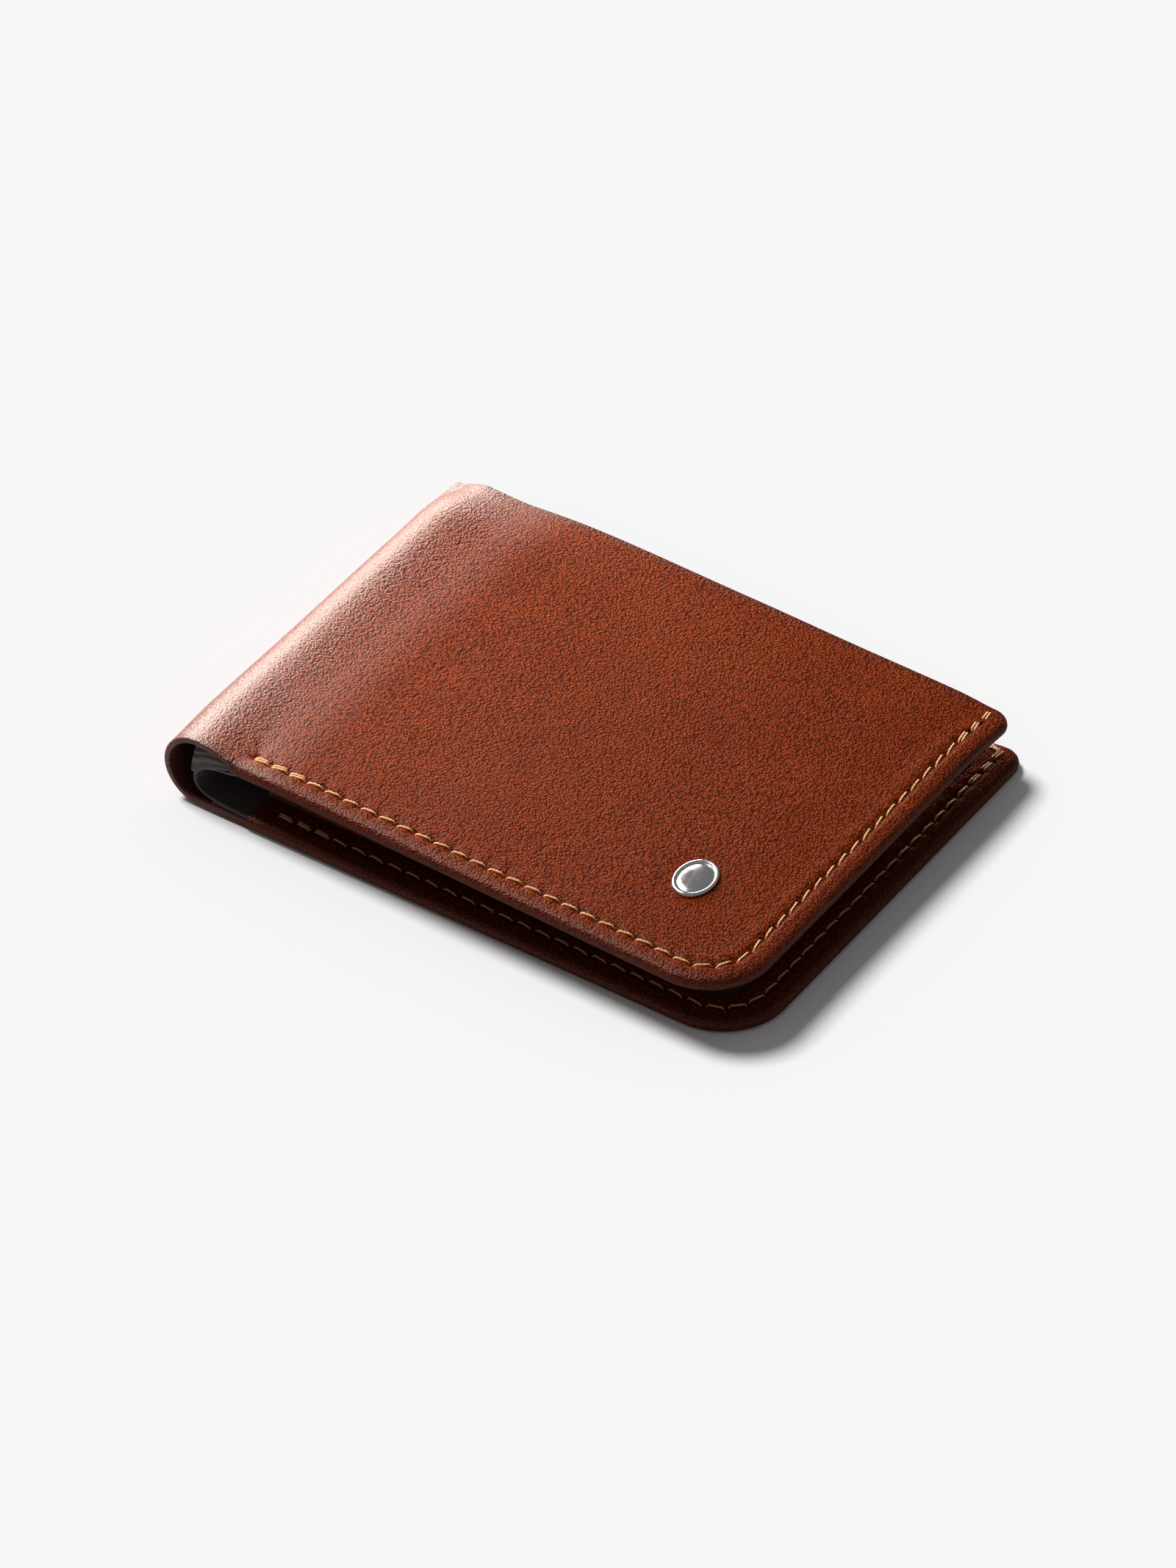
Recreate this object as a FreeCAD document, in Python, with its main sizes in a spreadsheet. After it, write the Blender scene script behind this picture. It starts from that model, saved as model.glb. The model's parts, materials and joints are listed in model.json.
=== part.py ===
import FreeCAD, Part

import math
import os

import Sketcher
from FreeCAD import Placement, Rotation, Vector

# Bifold wallet, closed but resting slightly ajar.
# Frame: origin under the middle of the closed wallet, on the surface it lies on.
# X runs from the spine (-) to the free edge (+), Y from the stitched bottom edge (-)
# to the open note compartment (+), Z up.
#
# Each half is drawn in its own half frame: x = 0 at the fold, x grows towards the free
# edge, z = 0 on the outer leather face and z grows towards the inside of the wallet.
# The lower half lies like that; the upper half is turned over on top of it.

DRIVING_DIMENSIONS = {
    "closed_length": 113.5,
    "closed_width": 85.0,
    "closed_height": 14.5,
    "upper_tilt": 1.0,
    "upper_setback": 1.4,
    "leather": 1.1,
    "rim_thickness": 2.6,
    "hem_width": 6.5,
    "hem_thickness": 0.75,
    "lower_hem_start": 9.75,
    "upper_hem_start": 6.65,
    "front_corner": 12.0,
    "back_corner": 3.5,
    "back_corner_ease": 0.8,
    "rim_round": 0.7,
    "hinge_lines": 4.0,
    "hinge_gap": 0.1,
    "fabric": 0.2,
    "clearance": 0.03,
    "lining_inset": 1.3,
    "loop_radius": 4.6,
    "wall_joggle": 6.4,
    "wall_flat": 1.1,
    "pocket_leather": 0.45,
    "pocket_start": 9.5,
    "pocket_margin": 0.3,
    "top_mouth": 22.0,
    "mouth_step": 12.0,
    "binding_width": 6.5,
    "binding_inset": 0.1,
    "pocket_seam": 2.0,
    "seam_inset": 3.8,
    "seam_groove": 1.0,
    "seam_end": 2.0,
    "stitch_pitch": 3.6,
    "stitch_length": 2.7,
    "thread": 0.6,
    "emblem_height": 9.4,
    "emblem_width": 7.0,
    "emblem_plate": 0.9,
    "emblem_rim": 0.8,
    "emblem_edge": 20.25,
    "emblem_front": 20.5,
    "prong": 0.8,
    "prong_spacing": 4.0,
    "backing_corner": 1.0,
}

doc = FreeCAD.newDocument("BifoldWallet")
sheet = doc.addObject("Spreadsheet::Sheet", "Sheet")
for row, (alias, value) in enumerate(DRIVING_DIMENSIONS.items(), start=1):
    sheet.set(f"A{row}", alias)
    sheet.set(f"B{row}", str(value))
    sheet.setAlias(f"B{row}", alias)
doc.recompute()

# Expressions that several pieces share. Radii are measured about the fold's own axis.
FOLD_RADIUS = "(Sheet.closed_height / 2)"
FOLD_X = "(Sheet.closed_height / 2 - Sheet.closed_length / 2)"
LOWER_LENGTH = "(Sheet.closed_length - Sheet.closed_height / 2)"
HALF_WIDTH = "(Sheet.closed_width / 2)"
SEGMENT_ANGLE = "((180 + Sheet.upper_tilt) / Sheet.hinge_lines)"
LINING_Z = "(Sheet.leather + Sheet.clearance)"
WALL_Z = f"({LINING_Z} + Sheet.fabric + Sheet.clearance)"
BASE_Z = f"({WALL_Z} + Sheet.fabric + Sheet.clearance)"
HEM_Z = "(Sheet.rim_thickness - Sheet.hem_thickness)"
LAYER = "(Sheet.pocket_leather + Sheet.clearance)"
LOOP_Z = f"({FOLD_RADIUS} - Sheet.loop_radius)"
THREAD_DEPTH = "(Sheet.thread / 2)"

# Millimetres left free above and below a stitch in its groove, and beside a pocket's mouth.
THREAD_EASE = 0.02
MOUTH_EASE = 0.1


class Half:
    """The expressions in which the lower and the upper half differ."""

    def __init__(self, name, front_sign, length, hem_start, placement):
        self.name = name
        self.front_sign = front_sign
        self.length = length
        self.hem_start = hem_start
        self.placement = placement

    def front(self, inset):
        """The stitched bottom edge, moved inwards by inset."""
        return f"({self.front_sign} * ({HALF_WIDTH} - {inset}))"

    def back(self, inset):
        """The edge at the note compartment's opening, moved inwards by inset."""
        return f"(-{self.front_sign} * ({HALF_WIDTH} - {inset}))"


LOWER = Half("lower", "-1", LOWER_LENGTH, "Sheet.lower_hem_start",
             f"placement(vector({FOLD_X}; 0; 0); rotation(vector(0; 0; 1); 0))")
UPPER = Half("upper", "1", f"({LOWER_LENGTH} - Sheet.upper_setback)", "Sheet.upper_hem_start",
             f"placement(vector({FOLD_X} + {FOLD_RADIUS} * sin(Sheet.upper_tilt * 1 deg); 0; "
             f"{FOLD_RADIUS} * (1 + cos(Sheet.upper_tilt * 1 deg))); "
             "rotation(vector(0; 1; 0); Sheet.upper_tilt) * rotation(vector(1; 0; 0); 180))")


def value(expression):
    return float(sheet.evalExpression(expression))


def new_object(kind, label):
    made = doc.addObject(kind, label)
    made.Label = label
    return made


def bind(obj, **expressions):
    """Binds an object's properties to expressions of the sheet's cells."""
    for prop, expression in expressions.items():
        obj.setExpression(prop, expression)


def sketch_on(body, role, offset="0"):
    """A sketch on one of the body's origin planes, lifted along the plane's normal."""
    sketch = body.newObject("Sketcher::SketchObject", body.Name + "_sketch")
    plane = next(f for f in body.Origin.OriginFeatures if f.Role == role)
    sketch.AttachmentSupport = [(plane, "")]
    sketch.MapMode = "FlatFace"
    sketch.setExpression("AttachmentOffset.Base.z", offset)
    return sketch


def fix_point(sketch, edge, end, x, y):
    """Ties one end of a sketch edge to expressions for its two coordinates."""
    for kind, expression in (("DistanceX", x), ("DistanceY", y)):
        index = sketch.addConstraint(Sketcher.Constraint(kind, edge, end, value(expression)))
        sketch.setExpression(f"Constraints[{index}]", expression)


def polygon(sketch, corners):
    """A closed outline through corners given as pairs of expressions."""
    points = [Vector(value(x), value(y), 0) for x, y in corners]
    count = len(points)
    for index in range(count):
        sketch.addGeometry(Part.LineSegment(points[index], points[(index + 1) % count]), False)
    for index in range(count):
        sketch.addConstraint(Sketcher.Constraint("Coincident", index, 2, (index + 1) % count, 1))
    for index, (x, y) in enumerate(corners):
        fix_point(sketch, index, 1, x, y)


def rounded_outline(sketch, corners):
    """A closed outline of level and upright lines; a corner's third entry is its radius."""
    points = [Vector(value(x), value(y), 0) for x, y, _ in corners]
    count = len(points)
    trims = [value(radius) if radius else 0.0 for _, _, radius in corners]
    runs = []
    for index in range(count):
        start, end = points[index], points[(index + 1) % count]
        along = (end - start).normalize()
        line = Part.LineSegment(start + along * trims[index], end - along * trims[(index + 1) % count])
        runs.append((along, line))
        sketch.addGeometry(line, False)
    for index, (along, line) in enumerate(runs):
        level = abs(along.x) > abs(along.y)
        sketch.addConstraint(Sketcher.Constraint("Horizontal" if level else "Vertical", index))
        x, y, _ = corners[index]
        kind, expression = ("DistanceY", y) if level else ("DistanceX", x)
        constraint = Sketcher.Constraint(kind, index, 1, value(expression))
        sketch.setExpression(f"Constraints[{sketch.addConstraint(constraint)}]", expression)
    for index in range(count):
        before, radius = (index - 1) % count, corners[index][2]
        if not radius:
            sketch.addConstraint(Sketcher.Constraint("Coincident", before, 2, index, 1))
            continue
        entering, leaving = runs[before], runs[index]
        tangents = (entering[1].EndPoint, leaving[1].StartPoint)
        centre = tangents[0] + leaving[0] * trims[index]
        middle = centre + (points[index] - centre).normalize() * trims[index]
        arc = sketch.addGeometry(Part.Arc(tangents[0], middle, tangents[1]), False)
        left_turn = entering[0].cross(leaving[0]).z > 0
        first_end, last_end = (1, 2) if left_turn else (2, 1)
        sketch.addConstraint(Sketcher.Constraint("Tangent", before, 2, arc, first_end))
        sketch.addConstraint(Sketcher.Constraint("Tangent", arc, last_end, index, 1))
        size = sketch.addConstraint(Sketcher.Constraint("Radius", arc, trims[index]))
        sketch.setExpression(f"Constraints[{size}]", radius)


def pad(body, sketch, length, symmetric=False):
    feature = body.newObject("PartDesign::Pad", body.Name + "_pad")
    feature.Profile = sketch
    feature.SideType = "Symmetric" if symmetric else "One side"
    feature.setExpression("Length", length)
    doc.recompute()
    return feature


def cut_pocket(body, sketch, depth):
    """Cuts the sketch out of the body along +Z, and makes sure that something was cut."""
    before = body.Shape.Volume
    feature = body.newObject("PartDesign::Pocket", body.Name + "_pocket")
    feature.Profile = sketch
    feature.Reversed = True
    feature.setExpression("Length", depth)
    doc.recompute()
    if feature.Shape.Volume > before - 0.01:
        raise RuntimeError(f"{body.Label}: a pocket cut nothing")
    return feature


def panel_corners(half, inset, start="0", back_inset=None):
    """A half's outline, inset from its rim, from start to the free edge."""
    back_inset = inset if back_inset is None else back_inset
    rounded_back = f"(Sheet.back_corner - {inset} * Sheet.back_corner_ease)"
    return [(start, half.front(inset), None),
            (f"({half.length} - {inset})", half.front(inset), f"(Sheet.front_corner - {inset})"),
            (f"({half.length} - {inset})", half.back(back_inset), rounded_back),
            (start, half.back(back_inset), None)]


def rim_band(half, outer, inner, back_inset="0", back_radius=None):
    """An L-shaped band along the bottom and free edges, between two insets from the rim."""
    return [(half.hem_start, half.front(outer), None),
            (f"({half.length} - {outer})", half.front(outer), f"(Sheet.front_corner - {outer})"),
            (f"({half.length} - {outer})", half.back(back_inset), back_radius),
            (f"({half.length} - {inner})", half.back(back_inset), None),
            (f"({half.length} - {inner})", half.front(inner), f"(Sheet.front_corner - {inner})"),
            (half.hem_start, half.front(inner), None)]


def ring_sector(label, outer, inner, reach, first_angle, sweep):
    """Part of a tube about the fold's axis, in the half frame: angles in degrees from +X."""
    solids = []
    for suffix, radius in (("outer", outer), ("inner", inner)):
        cylinder = new_object("Part::Cylinder", f"{label}_{suffix}")
        bind(cylinder, Radius=radius, Height=f"({reach}) * 2", Angle=sweep,
             Placement=f"placement(vector(0; -({reach}); {FOLD_RADIUS}); "
                       f"rotation(vector(0; 1; 0); -({first_angle})) * rotation(vector(1; 0; 0); -90))")
        solids.append(cylinder)
    ring = new_object("Part::Cut", label)
    ring.Base, ring.Tool = solids
    doc.recompute()
    return ring


def gap_angle(radius):
    """Half the hinge gap, as an angle in degrees at the given radius."""
    return f"(Sheet.hinge_gap / 2 / ({radius}) * 180 / pi)"


def fold_lip(label, outer, inner, reach):
    """The bent strip of a layer between the flat half and its first hinge line."""
    sweep = f"({SEGMENT_ANGLE} / 2 - {gap_angle(inner)})"
    return ring_sector(label, outer, inner, reach, "270", sweep)


def join(label, pieces):
    joined = new_object("Part::MultiFuse", label)
    joined.Shapes = pieces
    joined.Refine = True
    doc.recompute()
    return joined


def flat_body(label, corners, base, thickness):
    """A flat piece: an outline padded from base by thickness."""
    body = new_object("PartDesign::Body", label)
    sketch = sketch_on(body, "XY_Plane", base)
    rounded_outline(sketch, corners)
    pad(body, sketch, thickness)
    return body


def round_rim(body, half):
    """Rounds the outer edges of the turned rim, on the outer face and on the hem."""
    base = body.Tip
    feature = body.newObject("PartDesign::Fillet", body.Name + "_rim")
    front_y, free_x = value(half.front("0")), value(half.length)
    picked = []
    for index, edge in enumerate(base.Shape.Edges, start=1):
        box, middle = edge.BoundBox, edge.CenterOfMass
        face_level = min(abs(box.ZMin), abs(box.ZMin - value("Sheet.rim_thickness")))
        if box.ZMax - box.ZMin > 0.01 or face_level > 0.01:
            continue
        corner = value("Sheet.front_corner")
        near_front = abs(middle.y - front_y) < corner / 2 and box.YMin * box.YMax > 0
        on_front = min(abs(box.YMin - front_y), abs(box.YMax - front_y)) < 0.01 and near_front
        on_free = abs(box.XMax - free_x) < 0.01
        if on_front or on_free:
            picked.append(f"Edge{index}")
    feature.Base = (base, picked)
    feature.setExpression("Radius", "Sheet.rim_round")
    doc.recompute()
    return feature


def make_cover(half):
    """Outer leather: flat panel, rim turned over on two edges, seam grooves, bent fold lip."""
    label = f"cover_{half.name}"
    body = new_object("PartDesign::Body", label + "_panel")
    plate = sketch_on(body, "XY_Plane")
    rounded_outline(plate, panel_corners(half, "0"))
    pad(body, plate, "Sheet.leather")
    web = sketch_on(body, "XY_Plane", "Sheet.leather")
    rounded_outline(web, rim_band(half, "0", "Sheet.leather", "Sheet.back_corner"))
    pad(body, web, f"({HEM_Z} - Sheet.leather)")
    hem = sketch_on(body, "XY_Plane", HEM_Z)
    rounded_outline(hem, rim_band(half, "0", "Sheet.hem_width", "0", "Sheet.back_corner"))
    pad(body, hem, "Sheet.hem_thickness")
    round_rim(body, half)
    groove = rim_band(half, "(Sheet.seam_inset - Sheet.seam_groove / 2)",
                      "(Sheet.seam_inset + Sheet.seam_groove / 2)", "Sheet.seam_end")
    for level in ("0", f"(Sheet.rim_thickness - {THREAD_DEPTH})"):
        outline = sketch_on(body, "XY_Plane", level)
        rounded_outline(outline, groove)
        cut_pocket(body, outline, THREAD_DEPTH)
    if half is UPPER:
        cut_emblem_seat(body)
    lip = fold_lip(label + "_lip", FOLD_RADIUS, f"({FOLD_RADIUS} - Sheet.leather)", HALF_WIDTH)
    return join(label, [body, lip])


def emblem_centre():
    return f"({UPPER.length} - Sheet.emblem_edge)", UPPER.front("Sheet.emblem_front")


def circle(sketch, x, y, radius):
    edge = sketch.addGeometry(Part.Circle(Vector(value(x), value(y), 0), Vector(0, 0, 1),
                                          value(radius)), False)
    fix_point(sketch, edge, 3, x, y)
    size = sketch.addConstraint(Sketcher.Constraint("Radius", edge, value(radius)))
    sketch.setExpression(f"Constraints[{size}]", radius)


def prong_places():
    x, y = emblem_centre()
    return [(x, f"({y} - Sheet.prong_spacing / 2)"), (x, f"({y} + Sheet.prong_spacing / 2)")]


def backing_corners(margin):
    x, y = emblem_centre()
    half_x = f"(Sheet.prong_spacing / 2 + {margin})"
    half_y = f"(Sheet.prong_spacing + {margin})"
    return [(f"({x} - {half_x})", f"({y} - {half_y})", "Sheet.backing_corner"),
            (f"({x} + {half_x})", f"({y} - {half_y})", "Sheet.backing_corner"),
            (f"({x} + {half_x})", f"({y} + {half_y})", "Sheet.backing_corner"),
            (f"({x} - {half_x})", f"({y} + {half_y})", "Sheet.backing_corner")]


def cut_emblem_seat(body):
    """Two prong holes through the leather and a recess for the backing plate inside."""
    holes = sketch_on(body, "XY_Plane")
    for x, y in prong_places():
        circle(holes, x, y, "(Sheet.prong / 2 + Sheet.clearance)")
    cut_pocket(body, holes, "Sheet.leather")
    recess = sketch_on(body, "XY_Plane", f"(Sheet.leather - {THREAD_DEPTH})")
    rounded_outline(recess, backing_corners("Sheet.clearance"))
    cut_pocket(body, recess, THREAD_DEPTH)


def make_cover_lining(half):
    """Fabric lining glued inside the cover, one wall of the note compartment. It stops at the fold."""
    label = f"cover_lining_{half.name}"
    body = flat_body(label + "_panel", panel_corners(half, "Sheet.lining_inset"), LINING_Z, "Sheet.fabric")
    outer = f"({FOLD_RADIUS} - {LINING_Z})"
    reach = f"({HALF_WIDTH} - Sheet.lining_inset)"
    lip = fold_lip(label + "_lip", outer, f"({outer} - Sheet.fabric)", reach)
    return join(label, [body, lip])


def make_note_wall(half):
    """Inner wall of the note compartment; near the fold it rises to the open loop."""
    label = f"note_wall_{half.name}"
    reach = f"({HALF_WIDTH} - Sheet.lining_inset)"
    flat = flat_body(label + "_panel", panel_corners(half, "Sheet.lining_inset", "Sheet.wall_joggle"),
                     WALL_Z, "Sheet.fabric")
    rise = new_object("PartDesign::Body", label + "_rise")
    section = sketch_on(rise, "XZ_Plane")
    level = "Sheet.wall_flat"
    polygon(section, [("0", LOOP_Z), (level, LOOP_Z), ("Sheet.wall_joggle", WALL_Z),
                      ("Sheet.wall_joggle", f"({WALL_Z} + Sheet.fabric)"),
                      (level, f"({LOOP_Z} + Sheet.fabric)"), ("0", f"({LOOP_Z} + Sheet.fabric)")])
    pad(rise, section, f"({reach}) * 2", symmetric=True)
    lip = fold_lip(label + "_lip", "Sheet.loop_radius", "(Sheet.loop_radius - Sheet.fabric)", reach)
    return join(label, [flat, rise, lip])


def pocket_window(half, back):
    """The rectangle that the pocket panels fill, inside the hems."""
    margin = "(Sheet.hem_width + Sheet.pocket_margin)"
    end = f"({half.length} - {margin})"
    return [("Sheet.pocket_start", half.front(margin), None),
            (end, half.front(margin), f"(Sheet.front_corner - {margin})"),
            (end, back, None), ("Sheet.pocket_start", back, None)]


def make_pocket_backing(half):
    """Thin board that carries the card pockets, held under the hems."""
    corners = panel_corners(half, "Sheet.lining_inset", "Sheet.pocket_start")
    return flat_body(f"pocket_backing_{half.name}", corners, BASE_Z, "Sheet.fabric")


def make_pocket_facing(half):
    """Leather facing behind the card pockets, up to the note compartment's edge."""
    corners = pocket_window(half, half.back("Sheet.lining_inset"))
    return flat_body(f"pocket_facing_{half.name}", corners, HEM_Z, "Sheet.pocket_leather")


def slot_mouth(half, index):
    """Position of a card pocket's mouth across the wallet; index 1 is the rearmost."""
    return f"(-{half.front_sign} * (Sheet.top_mouth - {index - 1} * Sheet.mouth_step))"


def make_card_pocket(half, index):
    """One stepped card pocket, lying on the one behind it."""
    base = f"({HEM_Z} + {index} * {LAYER})"
    corners = pocket_window(half, slot_mouth(half, index))
    return flat_body(f"card_pocket_{half.name}_{index}", corners, base, "Sheet.pocket_leather")


def make_note_edge_binding(half):
    """Leather strip folded over the note wall, the backing and the facing at their back edge."""
    margin = "(Sheet.hem_width + Sheet.pocket_margin)"
    web_back = half.back("Sheet.binding_inset")
    web_front = half.back("(Sheet.lining_inset - Sheet.clearance)")
    leg_front = half.back("Sheet.binding_width")
    end = f"({half.length} - {margin})"
    body = new_object("PartDesign::Body", f"note_edge_binding_{half.name}")
    for base, inner, top in ((WALL_Z, web_front, f"({HEM_Z} + {LAYER})"),
                             (f"({HEM_Z} + {LAYER})", leg_front, f"({HEM_Z} + 2 * {LAYER})")):
        sketch = sketch_on(body, "XY_Plane", base)
        rounded_outline(sketch, [("Sheet.pocket_start", inner, None), (end, inner, None),
                                 (end, web_back, None), ("Sheet.pocket_start", web_back, None)])
        pad(body, sketch, f"({top} - {base})")
    return body


def stitch(centre, direction):
    """One visible stitch: a flat bar of thread along direction, its lowest face at centre's z."""
    length, width = value("Sheet.stitch_length"), value("Sheet.thread")
    depth = value(THREAD_DEPTH) - 2 * THREAD_EASE
    bar = Part.makeBox(length, width, depth, Vector(-length / 2, -width / 2, 0))
    bar.Placement = Placement(centre, Rotation(Vector(1, 0, 0), direction))
    return bar


def rim_seam_points(half):
    """Stitch centres and directions along the bottom edge, round the corner, up the free edge."""
    inset, side = value("Sheet.seam_inset"), float(half.front_sign)
    pitch, margin = value("Sheet.stitch_pitch"), value("Sheet.stitch_length")
    radius = value("Sheet.front_corner") - inset
    start_x = value(half.hem_start) + margin
    free_x, front_y = value(half.length) - inset, side * (value(HALF_WIDTH) - inset)
    centre = Vector(free_x - radius, front_y - side * radius, 0)
    bottom_run, bend = centre.x - start_x, radius * math.pi / 2
    side_run = abs(centre.y) + value(HALF_WIDTH) - value("Sheet.seam_end") - margin
    count = int((bottom_run + bend + side_run) / pitch)
    for index in range(count + 1):
        distance = index * pitch
        if distance < bottom_run:
            yield Vector(start_x + distance, front_y, 0), Vector(1, 0, 0)
        elif distance < bottom_run + bend:
            angle = (distance - bottom_run) / radius
            across, outward = math.sin(angle), math.cos(angle)
            yield (centre + Vector(radius * across, side * radius * outward, 0),
                   Vector(outward, -side * across, 0))
        else:
            travelled = distance - bottom_run - bend
            yield Vector(free_x, centre.y - side * travelled, 0), Vector(0, -side, 0)


def make_rim_seam(half):
    """Thread of the rim seam: one row of stitches in each groove of the cover."""
    outer_level = THREAD_EASE
    inner_level = value("Sheet.rim_thickness") - value(THREAD_DEPTH) + THREAD_EASE
    bars = [stitch(centre + Vector(0, 0, level), direction)
            for level in (outer_level, inner_level)
            for centre, direction in rim_seam_points(half)]
    seam = new_object("Part::Feature", f"rim_seam_{half.name}")
    seam.Shape = Part.makeCompound(bars)
    return seam


def make_pocket_seam(half):
    """Thread that closes the card pockets on the fold side, stepping down with the pockets."""
    toward_back = -float(half.front_sign)
    pitch, length = value("Sheet.stitch_pitch"), value("Sheet.stitch_length")
    front = -value(HALF_WIDTH) + value("Sheet.hem_width") + length
    back = value(HALF_WIDTH) - value("Sheet.binding_width") - length
    mouths = [value("Sheet.top_mouth") - step * value("Sheet.mouth_step") for step in range(3)]
    x = value("Sheet.pocket_start") + value("Sheet.pocket_seam")
    bars = []
    for index in range(int((back - front) / pitch) + 1):
        across = front + index * pitch
        if any(abs(across - mouth) < length / 2 + MOUTH_EASE for mouth in mouths):
            continue
        pockets_under = sum(across < mouth for mouth in mouths)
        level = value(HEM_Z) + value("Sheet.pocket_leather") + pockets_under * value(LAYER)
        bars.append(stitch(Vector(x, toward_back * across, level + THREAD_EASE), Vector(0, 1, 0)))
    seam = new_object("Part::Feature", f"pocket_seam_{half.name}")
    seam.Shape = Part.makeCompound(bars)
    return seam


def make_emblem():
    """Plain oval metal badge with a raised rim, on two prongs that pass through the leather."""
    x, y = emblem_centre()
    dish_depth = "(Sheet.emblem_plate / 3)"
    solids = []
    for suffix, inset, base, thickness in (("plate", "0", "-Sheet.emblem_plate", "Sheet.emblem_plate"),
                                           ("dish", "Sheet.emblem_rim", "-Sheet.emblem_plate", dish_depth)):
        ellipse = new_object("Part::Ellipse", f"emblem_{suffix}_outline")
        bind(ellipse, MajorRadius=f"(Sheet.emblem_height / 2 - {inset})",
             MinorRadius=f"(Sheet.emblem_width / 2 - {inset})",
             Placement=f"placement(vector({x}; {y}; {base}); rotation(vector(0; 0; 1); 90))")
        plate = new_object("Part::Extrusion", f"emblem_{suffix}")
        plate.Base, plate.DirMode, plate.Solid = ellipse, "Normal", True
        bind(plate, LengthFwd=thickness)
        solids.append(plate)
    face = new_object("Part::Cut", "emblem_face")
    face.Base, face.Tool = solids
    pieces = [face]
    for index, (prong_x, prong_y) in enumerate(prong_places(), start=1):
        prong = new_object("Part::Cylinder", f"emblem_prong_{index}")
        bind(prong, Radius="Sheet.prong / 2", Height="Sheet.leather - Sheet.clearance",
             Placement=f"placement(vector({prong_x}; {prong_y}; 0); rotation(vector(0; 0; 1); 0))")
        pieces.append(prong)
    return join("emblem", pieces)


def make_emblem_backing():
    """Small plate inside the leather that the badge's prongs are clinched on."""
    body = flat_body("emblem_backing", backing_corners("-Sheet.clearance"),
                     f"(Sheet.leather - {THREAD_DEPTH} + Sheet.clearance / 2)",
                     f"({THREAD_DEPTH} - Sheet.clearance)")
    holes = sketch_on(body, "XY_Plane")
    for x, y in prong_places():
        circle(holes, x, y, "(Sheet.prong / 2 + Sheet.clearance)")
    cut_pocket(body, holes, "Sheet.leather")
    return body


def make_spine_segments():
    """Three bent strips of the leather and of the note wall between the four hinge lines of the fold."""
    layers = (("cover", FOLD_RADIUS, "Sheet.leather", HALF_WIDTH),
              ("note_wall", "Sheet.loop_radius", "Sheet.fabric", f"({HALF_WIDTH} - Sheet.lining_inset)"))
    segments = []
    for index in range(1, int(value("Sheet.hinge_lines"))):
        for layer, outer, thickness, reach in layers:
            inner = f"({outer} - {thickness})"
            first = f"(270 - {SEGMENT_ANGLE} * {index - 0.5} - {gap_angle(inner)})"
            sweep = f"({SEGMENT_ANGLE} - 2 * {gap_angle(inner)})"
            segment = ring_sector(f"{layer}_spine_{index}", outer, inner, reach, first, sweep)
            segment.setExpression("Placement", LOWER.placement)
            segments.append(segment)
    return segments


def make_half(half):
    pieces = [make_cover(half), make_cover_lining(half), make_note_wall(half), make_pocket_backing(half),
              make_pocket_facing(half)]
    pieces += [make_card_pocket(half, index) for index in (1, 2, 3)]
    pieces += [make_note_edge_binding(half), make_rim_seam(half), make_pocket_seam(half)]
    if half is UPPER:
        pieces += [make_emblem(), make_emblem_backing()]
    for piece in pieces:
        piece.setExpression("Placement", half.placement)
    return pieces


def check_and_write(pieces):
    doc.recompute()
    for obj in doc.Objects:
        if "Invalid" in obj.State or "Error" in obj.State:
            raise RuntimeError(f"{obj.Label}: {obj.State}")
    for piece in pieces:
        if piece.Shape.isNull() or not piece.Shape.isValid() or not piece.Shape.Solids:
            raise RuntimeError(f"{piece.Label}: no valid solid")
    os.makedirs("parts", exist_ok=True)
    for piece in pieces:
        piece.Shape.exportStep(os.path.join("parts", piece.Label + ".step"))
        box = piece.Shape.BoundBox
        print(f"{piece.Label:26s} {len(piece.Shape.Solids):3d} solids  "
              f"x {box.XMin:7.2f} {box.XMax:7.2f}  y {box.YMin:7.2f} {box.YMax:7.2f}  "
              f"z {box.ZMin:6.2f} {box.ZMax:6.2f}")


check_and_write(make_half(LOWER) + make_spine_segments() + make_half(UPPER))
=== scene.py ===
import json
import math

import bmesh
import bpy
import numpy as np
from mathutils import Matrix, Vector

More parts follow.
